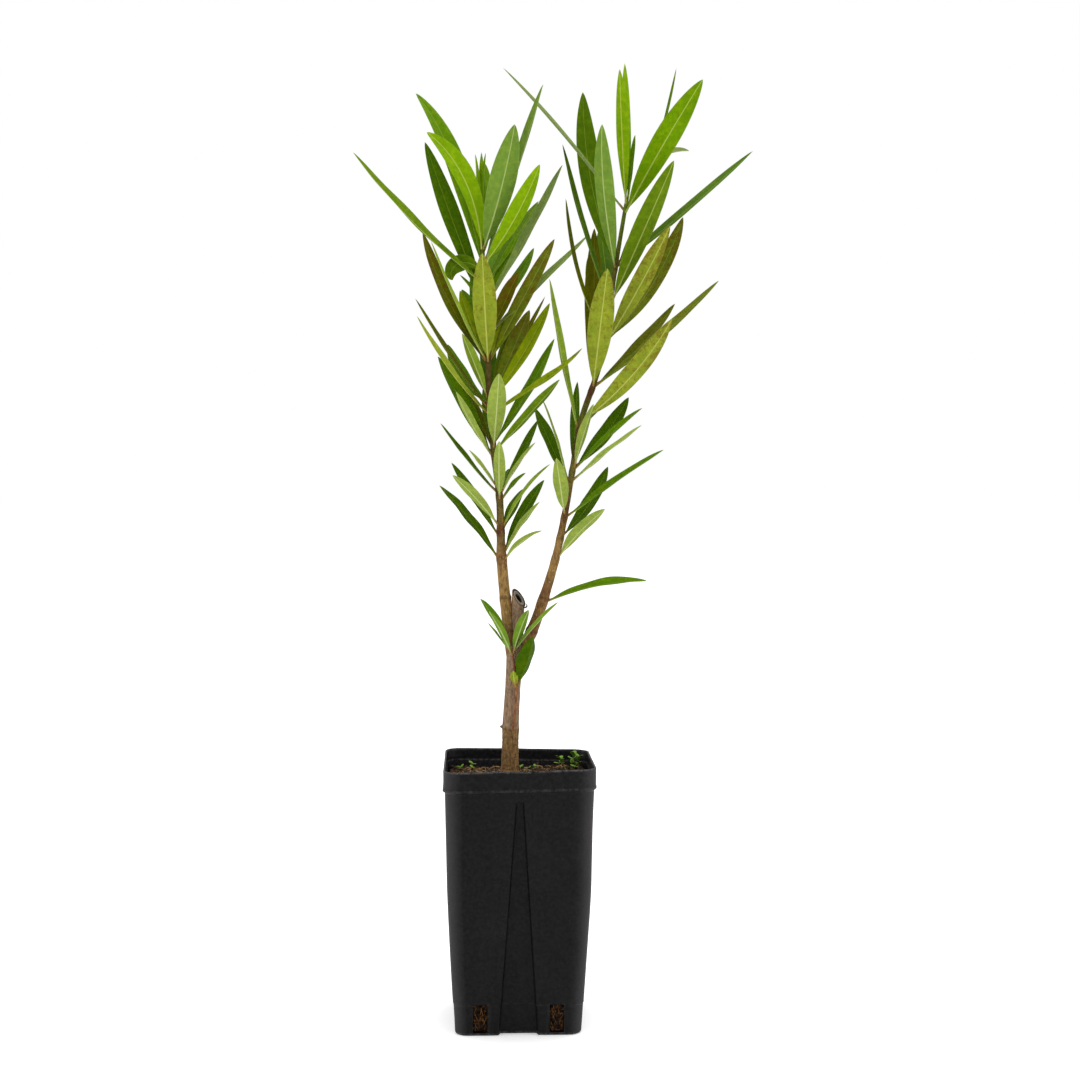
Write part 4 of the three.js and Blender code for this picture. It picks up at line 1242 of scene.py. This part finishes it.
def pot_ring(z, half, corner, inset, deep):
    """One level outline: four faces with a pleat each, and round corners. deep is how far the pleat goes in,
    in an S curve from its mouth to its floor."""
    flat = half - inset
    round_by = max(corner - inset, LEAST_ROUND)
    share = np.clip(z / PLEAT_TOP, 0, 1)
    mouth = (PLEAT_WIDE[0] + (PLEAT_WIDE[1] - PLEAT_WIDE[0]) * share + inset) / 2
    groove = max(mouth - PLEAT_SLOPE, LEAST_FLOOR)
    stops = dict(edge=flat - round_by, far=SLOT_FAR, near=SLOT_NEAR, mouth=mouth, groove=groove, middle=0.0)
    across = np.array([stops[a] + (stops[b] - stops[a]) * t for a, b, t in HALF_COLUMNS])
    sink = deep * smooth(np.clip((mouth - across) / (mouth - groove), 0, 1))
    left = np.column_stack([flat - sink, -across])
    middle = np.array([[flat - deep, 0.0]])
    right = np.column_stack([flat - sink, across])[::-1]
    angle = np.radians(90.0 * np.arange(1, CORNER_STEPS) / CORNER_STEPS)
    bend = flat - round_by + round_by * np.column_stack([np.cos(angle), np.sin(angle)])
    side = np.concatenate([left, middle, right, bend])
    aside = (ASIDE[0] + ASIDE[1] * z / LIP, 0.0)
    outline = np.concatenate([side @ quarter_turn(face).T + aside for face in range(4)])
    return np.column_stack([outline, np.full(len(outline), z)])


def pleat_depth(z):
    """How far a pleat goes in at a height: it ends in a short run-out."""
    share = np.clip(z / PLEAT_TOP, 0, 1)
    run_out = np.clip((PLEAT_TOP + PLEAT_RUN_OUT - z) / PLEAT_RUN_OUT, 0, 1)
    return (PLEAT_DEEP[0] + (PLEAT_DEEP[1] - PLEAT_DEEP[0]) * share) * run_out


def wall_ring(z, inset):
    """The wall's outline at a height, moved inwards by inset."""
    return pot_ring(z, wall_half(z), corner_radius(z), inset, pleat_depth(z))


def step_inset(z):
    """How far the wall stands back at a height: by STEP_IN below the step."""
    return STEP_IN if z <= STEP_FOOT else 0.0


def band_rows(profile, half, inset=0.0):
    """Rows of the rim, which has no pleats, from (height, how far in, wear, which on the bead is a painted
    highlight), moved inwards by inset.
    """
    return [(pot_ring(z, half, CORNER_RADII[1], inset + more, 0.0), wear) for z, more, wear in profile]


def pot_rows():
    """The pot's rows as (ring, wear, which on the bead is a painted highlight), from the middle of the
    underside up the outside, over the lip and down the inside, with the numbers of the first outer and
    the last inner row of the slots."""
    foot = pot_ring(0.0, wall_half(0) - FOOT_ROUND, CORNER_RADII[0], 0.0, PLEAT_DEEP[0])
    rows = [(foot * (share, share, 1.0), 0.1) for share in (0.25, 0.6, 0.9, 0.99)]
    rows.append((foot, 0.5))
    for turn, wear in [(22, 0.4), (45, 0.8), (68, 0.4), (90, 0.4)]:
        angle = math.radians(turn)
        up, back = FOOT_ROUND * (1 - math.cos(angle)), FOOT_ROUND * (1 - math.sin(angle))
        rows.append((wall_ring(up, back + STEP_IN), wear))
    outer = len(rows)
    wears = np.where(SLOT_LEVELS == STEP_HEAD, 0.2, PLAIN_WEAR)
    rows += [(wall_ring(z, step_inset(z)), wear) for z, wear in zip(SLOT_LEVELS, wears)]
    heights = np.concatenate([np.linspace(23, 149, 60), np.linspace(150, 163, 18)])
    rows += [(wall_ring(z, 0.0), PLAIN_WEAR) for z in heights]
    rows += band_rows(BEAD, RIM_HALF)
    rows += band_rows([(z, 0.0, 0.06) for z in np.linspace(167.0, 176.6, 8)], RIM_HALF)
    rows += band_rows(LIP_ROWS, LIP_HALF)
    rows += band_rows([(z, 0.0, 0.1) for z in np.linspace(176.3, 171.0, 4)], RIM_HALF, WALL)
    rows += band_rows(LEDGE, RIM_HALF, WALL)
    rows += [(wall_ring(z, WALL), PLAIN_WEAR) for z in [163.6, *np.linspace(160, 24, 14)]]
    inner = len(rows) + len(SLOT_LEVELS) - 1
    rows += [(wall_ring(z, WALL + step_inset(z)), PLAIN_WEAR) for z in SLOT_LEVELS[::-1]]
    floor = wall_ring(1.7, WALL + 1.0)
    rows += [(floor * (share, share, 1.0), PLAIN_WEAR) for share in (1.0, 0.98, 0.6, 0.25)]
    return rows, outer, inner


def slot_spans():
    """The first and last column of each of the eight slots, two to a face."""
    far_side = 2 * len(HALF_COLUMNS) - EDGE_COLUMNS - SLOT_COLUMNS
    firsts = [face * FACE_COLUMNS + first for face in range(4) for first in (EDGE_COLUMNS, far_side)]
    return [(first, first + SLOT_COLUMNS) for first in firsts]


def slot_walls(outer, inner, span, corners):
    """Faces through the thickness of the wall round one slot. Outer row i meets the inner row that is i
    before the last."""
    low, high = span
    top = len(SLOT_LEVELS) - 1

    def out(row, column):
        """Number of a point on the outside: outer rows count up."""
        return (outer + row) * corners + column

    def back(row, column):
        """Number of the point behind it: inner rows count down."""
        return (inner - row) * corners + column

    faces = []
    for column in range(low, high):
        after = column + 1
        faces.append((out(0, column), out(0, after), back(0, after), back(0, column)))
        faces.append((out(top, after), out(top, column), back(top, column), back(top, after)))
    for row in range(top):
        above = row + 1
        faces.append((out(row, high), out(above, high), back(above, high), back(row, high)))
        faces.append((out(above, low), out(row, low), back(row, low), back(above, low)))
    return faces


def uneven(rings):
    """Slight waves in the thin walls, by noise along the way out, and a lip that is a little twisted, by
    -xy, and dented, by noise in height."""
    flat = rings * (1.0, 1.0, 0.0)
    away = np.linalg.norm(flat, axis=-1)
    wave = 0.45 * lumps(rings, 46.0, 51) + 0.12 * lumps(rings, 14.0, 52)
    wave *= ramp(1.0, 12.0, rings[..., 2]) * ramp(20.0, 36.0, away)
    moved = rings + unit(flat + 1e-9) * wave[..., None]
    twist = -rings[..., 0] * rings[..., 1] / 50.0**2
    dents = 0.35 * lumps(flat, 30.0, 53) + 0.15 * lumps(flat, 9.0, 54)
    moved[..., 2] += (twist + dents) * ramp(140.0, 172.0, rings[..., 2])
    return moved


def add_pot():
    """The pot, with the eight slots cut through its walls. Its corners have a painted sheen outside, its
    pleats have painted shade that grows towards their tops, and its edges are worn, with a painted
    highlight line along the bead."""
    rows, outer, inner = pot_rows()
    rings = uneven(np.array([ring for ring, _ in rows]))
    count, corners = rings.shape[:2]
    slots = slot_spans()
    wear = np.repeat([value for _, value in rows], corners).reshape(count, corners)
    keep = np.ones((count - 1, corners), bool)
    deep = len(SLOT_LEVELS)
    for low, high in slots:
        wear[outer : outer + deep, [low, high]] += SLOT_WEAR
        keep[outer : outer + deep - 1, low:high] = False
        keep[inner - deep + 1 : inner, low:high] = False
    column = np.arange(corners) % FACE_COLUMNS
    outside = np.arange(count) < inner - UNSHEENED_ROWS
    # A painted sheen in a band round each corner, on the outside only.
    gloss = outside[:, None] * bell(column, FACE_COLUMNS - CORNER_STEPS / 2, 4.0)
    pleat = np.abs(column - len(HALF_COLUMNS)) < PLEAT_COLUMNS
    pleated = pleat & (rings[..., 2] < PLEAT_TOP + PLEAT_RUN_OUT)
    # Painted shade in the pleats, growing towards their tops.
    sunk = pleated * ramp(-80.0, PLEAT_TOP, rings[..., 2])
    shape = Shape()
    shape.loft(rings, 0, (0.0, 0.0, 1.0, 0.96), keep, wear=wear, gloss=gloss, sunk=sunk)
    walls = [face for span in slots for face in slot_walls(outer, inner, span, corners)]
    u = (np.arange(len(walls))[:, None] + np.array([0.1, 0.9, 0.9, 0.1])) / len(walls)
    v = np.broadcast_to(np.array([0.97, 0.97, 0.995, 0.995]), u.shape)
    shape.join(walls, 0, np.stack([u, v], axis=-1).reshape(-1, 2))
    make_piece("square_pot", shape, [POT_LOOK], ["pot"])


# ----------------------------------------------------------------------------- potting mix

MIX_LEVEL = 166.0
MOUND = 1.8
MIX_INSET = 2.0
# Rows up the sides of the plug that wear the darker rooty look, painted shade for the slots, and its highest
# row before the top.
SHADED_SIDE_ROWS = 22
MIX_EDGE = 163.5


def mix_top(points):
    """Height of the mix: a mound to the trunk, crumbs of three sizes, and a dip along the walls."""
    away = np.hypot(points[:, 0] - TRUNK_FOOT[0], points[:, 1])
    mound = MIX_LEVEL + MOUND * ramp(30, 8, away)
    flat = points * (1, 1, 0)
    crumbs = 1.0 * lumps(flat, 13, 61) + 0.8 * lumps(flat, 5, 62) + 0.7 * lumps(flat, 2.2, 63)
    edge = np.maximum(np.abs(points[:, 0]), np.abs(points[:, 1]))
    return mound + crumbs * 0.8 - 1.2 * ramp(44, 48.5, edge)


def add_mix():
    """The potting mix as one closed plug: rough rooty sides that show in the slots, darker as painted
    shade, and a crumbly top.
    """
    rows = []
    for z in [*np.linspace(2.3, 23.0, 20), 60, 100, 140, 160, MIX_EDGE]:
        ring = wall_ring(z, MIX_INSET)
        rough = (0.9 * lumps(ring, 3.0, 64) + 0.6 * lumps(ring, 1.3, 65) - 0.8) * ramp(26, 22, z)
        rows.append(ring + unit(ring * (1, 1, 0)) * rough[:, None])
    edge = rows[-1]
    centre = TRUNK_FOOT * (1, 1, 0)
    for share in [0.995, *np.linspace(0.985, 0.02, 90)]:
        ring = centre + (edge - centre) * share
        ring[:, 2] = mix_top(ring)
        rows.append(ring)
    look = np.where(np.arange(len(rows) - 1) < SHADED_SIDE_ROWS, 1, 0)
    shape = Shape()
    shape.loft(np.array(rows), look[:, None])
    make_piece("potting_mix", shape, [SOIL_LOOK, SHADED_ROOT_LOOK], ["soil"])


BALL_RINGS = 4
BALL_SIDES = 7


def ball_rings():
    """Rows of a small ball of radius 1, from its foot to its head, at even steps of the angle from +Z."""
    fall = np.pi * (1.0 - (np.arange(BALL_RINGS) + 0.5) / BALL_RINGS)
    return heading(fall[:, None], turns_of(BALL_SIDES))


def spun(rng):
    """A random turn in space, from a random quaternion."""
    a, b, c, d = unit(rng.normal(size=4))
    return np.array([
        [1 - 2 * (c * c + d * d), 2 * (b * c - a * d), 2 * (b * d + a * c)],
        [2 * (b * c + a * d), 1 - 2 * (b * b + d * d), 2 * (c * d - a * b)],
        [2 * (b * d - a * c), 2 * (c * d + a * b), 1 - 2 * (b * b + c * c)],
    ])


def map_cell(number, count):
    """A square cell of the map for one of count small things."""
    side = math.ceil(math.sqrt(count))
    return (number % side / side, number // side / side, 0.92 / side, 0.92 / side)


# What is strewn on the mix, and how far from the pot's middle it may lie.
CRUMBS = 520
FIBRES = 110
STREWN_HALF = 45.5
FIBRE_HALF = 43.0
CRUMB_HALVES = np.array([2.0, 1.3, 0.9])
CRUMB_SIZES = [0.6, 0.9, 1.5]
CRUMB_SHARES = [0.45, 0.4, 0.15]
# The least and the greatest length, rise and half thickness of a dry fibre.
FIBRE_LENGTHS = (6, 17)
FIBRE_RISES = (0.2, 2.2)
FIBRE_THICKS = (0.16, 0.4)


def add_litter():
    """Bark crumbs and dry fibres strewn on the mix: rough little balls of three sizes, and thin bent threads
    whose middle lines arch over it by a half sine."""
    rng = np.random.default_rng(71)
    total = CRUMBS + FIBRES
    shape = Shape()
    ball = ball_rings()
    spots = rng.uniform(-STREWN_HALF, STREWN_HALF, (CRUMBS, 2))
    tops = mix_top(np.column_stack([spots, np.zeros(CRUMBS)]))
    for number in range(CRUMBS):
        halves = rng.uniform(0.5, 1.0) * CRUMB_HALVES * rng.choice(CRUMB_SIZES, p=CRUMB_SHARES)
        rough = ball * (1.0 + 0.25 * rng.uniform(-1, 1, ball.shape[:2] + (1,)))
        place = np.array([*spots[number], tops[number] + 0.25 * halves[2]])
        rings = (rough * halves) @ spun(rng).T + place
        shape.loft(rings, int(rng.choice([0, 0, 1, 2])), map_cell(number, total))
    along = rows_of(9)
    for number in range(CRUMBS, total):
        start = rng.uniform(-FIBRE_HALF, FIBRE_HALF, 2)
        course = rng.uniform(0, 2 * np.pi) + rng.uniform(-1.2, 1.2) * along
        reach = rng.uniform(*FIBRE_LENGTHS)
        step = np.column_stack([np.cos(course), np.sin(course)]) * reach / len(along)
        flat = np.clip(start + np.cumsum(step, axis=0), -STREWN_HALF, STREWN_HALF)
        line = np.column_stack([flat, np.zeros(len(flat))])
        line[:, 2] = mix_top(line) + 0.2 + rng.uniform(*FIBRE_RISES) * np.sin(np.pi * along)
        thick = rng.uniform(*FIBRE_THICKS) * ramp(1.05, 0.7, along) + 0.05
        rings = thread_rings(line + 1e-4 * along[:, None], thick, 5)
        shape.loft(rings, 2, map_cell(number, total))
    make_piece("bark_crumbs_and_fibres", shape, [SOIL_LOOK, CHIP_LOOK, FIBRE_LOOK])


ROOTS_IN_SLOT = 26
# How far roots bow out of the mix, and the share of them that do.
ROOT_BOWS = [0.3, 0.9, 2.6]
ROOT_SHARES = [0.6, 0.33, 0.07]
# How far the roots' ends stay behind the outside of the wall, and the heights that they keep to.
ROOT_BEHIND = 2.6
ROOT_LEVELS = (2.8, 20.2)


def add_roots():
    """Fine roots that fill the slots behind the wall, a few of them poking out: each is a thread on a slant
    line that bows outwards by a half sine."""
    rng = np.random.default_rng(81)
    shape = Shape()
    along = rows_of(8)
    slots = [(face, side) for face in range(4) for side in (-1, 1)]
    for place, (face, side) in enumerate(slots):
        limits = sorted((side * (SLOT_NEAR + 0.5), side * (SLOT_FAR - 0.5)))
        for number in range(ROOTS_IN_SLOT):
            across = side * rng.uniform(SLOT_NEAR + 0.6, SLOT_FAR - 0.6)
            level = rng.uniform(3.0, 20.0)
            drift = rng.uniform(-1, 1, 2) * (3.4, 7.0)
            y = np.clip(across + drift[0] * (along - 0.5), *limits)
            z = np.clip(level + drift[1] * (along - 0.5), *ROOT_LEVELS)
            bow = rng.choice(ROOT_BOWS, p=ROOT_SHARES) * np.sin(np.pi * along)
            flat = np.column_stack([wall_half(z) - ROOT_BEHIND + bow, y]) @ quarter_turn(face).T
            thick = np.full(len(z), rng.uniform(0.1, 0.28))
            rings = thread_rings(np.column_stack([flat, z]), thick, 5)
            cell = map_cell(place * ROOTS_IN_SLOT + number, len(slots) * ROOTS_IN_SLOT)
            # A third of the roots wear the darker mix look, which is painted shade.
            shape.loft(rings, int(rng.choice([0, 0, 1])), cell)
    make_piece("roots_in_slots", shape, [ROOT_FIBRE_LOOK, SHADED_ROOT_LOOK])


# Seedlings on the mix: place, height, lean to +X, number of leaf pairs, leaf length.
SEEDLINGS = [
    (38.5, 30.0, 11.0, 10, 3, 5.6),
    (35.0, 27.0, 8.5, -26, 2, 5.2),
    (42.0, 32.0, 9.0, 14, 2, 5.0),
    (43.5, 27.0, 5.5, 8, 1, 4.6),
    (32.5, 31.0, 5.0, -30, 1, 4.4),
    (40.0, 23.0, 4.5, 14, 1, 4.2),
    (2.5, 26.0, 3.4, -10, 1, 3.6),
    (7.0, 24.0, 3.0, 20, 1, 3.0),
    (12.0, 25.0, 3.2, 15, 1, 3.4),
    (-30.0, 27.0, 3.6, -20, 1, 3.8),
    (-33.0, 30.0, 4.6, 24, 1, 4.0),
    (-37.0, 26.0, 3.0, -35, 1, 3.4),
    (-41.0, 22.0, 2.8, 10, 1, 3.2),
    (22.0, -18.0, 4.0, 12, 1, 3.4),
    (-24.0, -22.0, 3.2, -14, 1, 3.2),
]
SEEDLING_ROWS = 10
PAIR_STEP = 0.26


def seedling_leaf(foot, course, rise, length):
    """A small oval leaf as a thin flattened ball: its half width is 0.35 of its length times sin to the
    power 0.8, and it droops with the share squared."""
    share = rows_of(SEEDLING_ROWS)
    fall = np.pi * (0.04 + 0.92 * share)
    turn = turns_of(10)[:, None]
    along = heading(np.pi / 2 - rise, course)
    across = unit(np.cross([0.0, 0.0, 1.0], along))
    centre = foot + along * (length * (0.5 - 0.5 * np.cos(fall)))[:, None]
    centre[:, 2] -= 0.12 * length * share**2
    wide = (0.35 * length * np.sin(fall) ** 0.8)[:, None, None]
    thin = (0.12 + 0.1 * np.sin(fall))[:, None, None]
    return centre[:, None] + wide * np.cos(turn) * across + thin * np.sin(turn) * np.cross(along, across)


def add_seedlings():
    """Self-sown seedlings: a thread of a stem, which leans over with the share to the power 1.3, and pairs of
    small oval leaves down from its top."""
    rng = np.random.default_rng(91)
    shape = Shape()
    total = sum(1 + 2 * pairs for *_, pairs, _ in SEEDLINGS)
    number = 0
    share = rows_of(SEEDLING_ROWS)
    for x, y, tall, lean, pairs, size in SEEDLINGS:
        base = np.array([[x, y, 0.0]])
        base[0, 2] = mix_top(base)[0] - 0.5
        aside = math.tan(math.radians(lean)) * tall
        stem = base + np.column_stack([aside * share**1.3, 0.8 * np.sin(3 * share), tall * share])
        shape.loft(thread_rings(stem, 0.3 - 0.1 * share, 6), 1, map_cell(number, total))
        number += 1
        for pair in range(pairs):
            foot = stem[0] + (stem[-1] - stem[0]) * (1.0 - PAIR_STEP * pair)
            first = rng.uniform(0, np.pi)
            for side in (0.0, np.pi):
                course = first + side + rng.uniform(-0.4, 0.4)
                rise = rng.uniform(0.1, 0.9)
                leaf = seedling_leaf(foot, course, rise, size * rng.uniform(0.75, 1.1))
                shape.loft(leaf, 0, map_cell(number, total))
                number += 1
    make_piece("seedlings", shape, [WEED_LOOK, WEED_STEM_LOOK])


# ------------------------------------------------------------------------ light and view
# Metres and watts, and the camera's lens in millimetres.

FLOOR_HALF = 30.0
FLOOR_GLOW = 0.22
LAMP_AIM = np.array([0.02, 0.0, 0.35])
LAMP_SIZE = 1.2
LAMPS = [
    ("left_softbox", (-1.5, -1.3, 1.6), 62.0),
    ("right_softbox", (1.7, -0.9, 1.1), 11.5),
    ("top_softbox", (0.1, 0.2, 2.2), 24.0),
]
CAMERA_PLACE = (-0.028, -1.224, 0.370)
# Degrees anticlockwise from above, so that the camera looks a little to the right.
CAMERA_TURN = -2.04
SENSOR_WIDTH = 36.0
LENS_LENGTH = 58.97
FRAME_SHIFT = -0.0538
NEAREST = 0.05


def stand(name, data, place, turn):
    """Puts a lamp or a camera at a place, turned by three angles in radians."""
    holder = bpy.data.objects.new(name, data)
    holder.location = place
    holder.rotation_euler = turn
    bpy.context.scene.collection.objects.link(holder)
    return holder


def add_floor():
    """A plain pale floor that glows a little, and a white surround."""
    world = bpy.data.worlds.new("pale_surround")
    bpy.context.scene.world = world
    world.use_nodes = True
    back = world.node_tree.nodes["Background"]
    back.inputs["Color"].default_value = linear((255, 255, 255))
    back.inputs["Strength"].default_value = 1.0
    mesh = bpy.data.meshes.new("floor")
    corners = FLOOR_HALF * np.array([(-1, -1, 0), (1, -1, 0), (1, 1, 0), (-1, 1, 0)])
    mesh.from_pydata(corners.tolist(), [], [(0, 1, 2, 3)])
    floor = bpy.data.objects.new("floor", mesh)
    bpy.context.scene.collection.objects.link(floor)
    white = linear((255, 255, 255))
    glow = {"Emission Color": white, "Emission Strength": FLOOR_GLOW}
    mesh.materials.append(Look("pale_floor").surface(white, 1.0, 0.0, **glow))


def add_lamps():
    """Soft square lamps that all face the plant."""
    for name, place, power in LAMPS:
        lamp = bpy.data.lights.new(name, "AREA")
        lamp.energy = power
        lamp.size = LAMP_SIZE
        aim = LAMP_AIM - place
        fall = math.acos(-aim[2] / np.linalg.norm(aim))
        stand(name, lamp, place, (fall, 0.0, math.atan2(aim[0], -aim[1])))


def add_camera():
    """The camera: level, a little above the plant's mid height and slightly to its left, with the frame
    moved down so that the pot stands in it."""
    lens = bpy.data.cameras.new("camera")
    lens.sensor_width = SENSOR_WIDTH
    lens.lens = LENS_LENGTH
    lens.clip_start = NEAREST
    lens.shift_y = FRAME_SHIFT
    turn = (math.radians(90.0), 0.0, math.radians(CAMERA_TURN))
    bpy.context.scene.camera = stand("camera", lens, CAMERA_PLACE, turn)


add_pot()
add_mix()
add_litter()
add_roots()
add_seedlings()
add_trunk()
add_stub()
add_shoot("left_shoot", LEFT_ROUTE, LEFT_WHORLS, 21, 370.0, LEFT_BLUSH)
add_shoot("right_shoot", RIGHT_ROUTE, RIGHT_WHORLS, 22, 380.0, RIGHT_BLUSH)
add_sprig_stem()
add_crown()
add_floor()
add_lamps()
add_camera()
bpy.context.scene.view_settings.view_transform = "Standard"
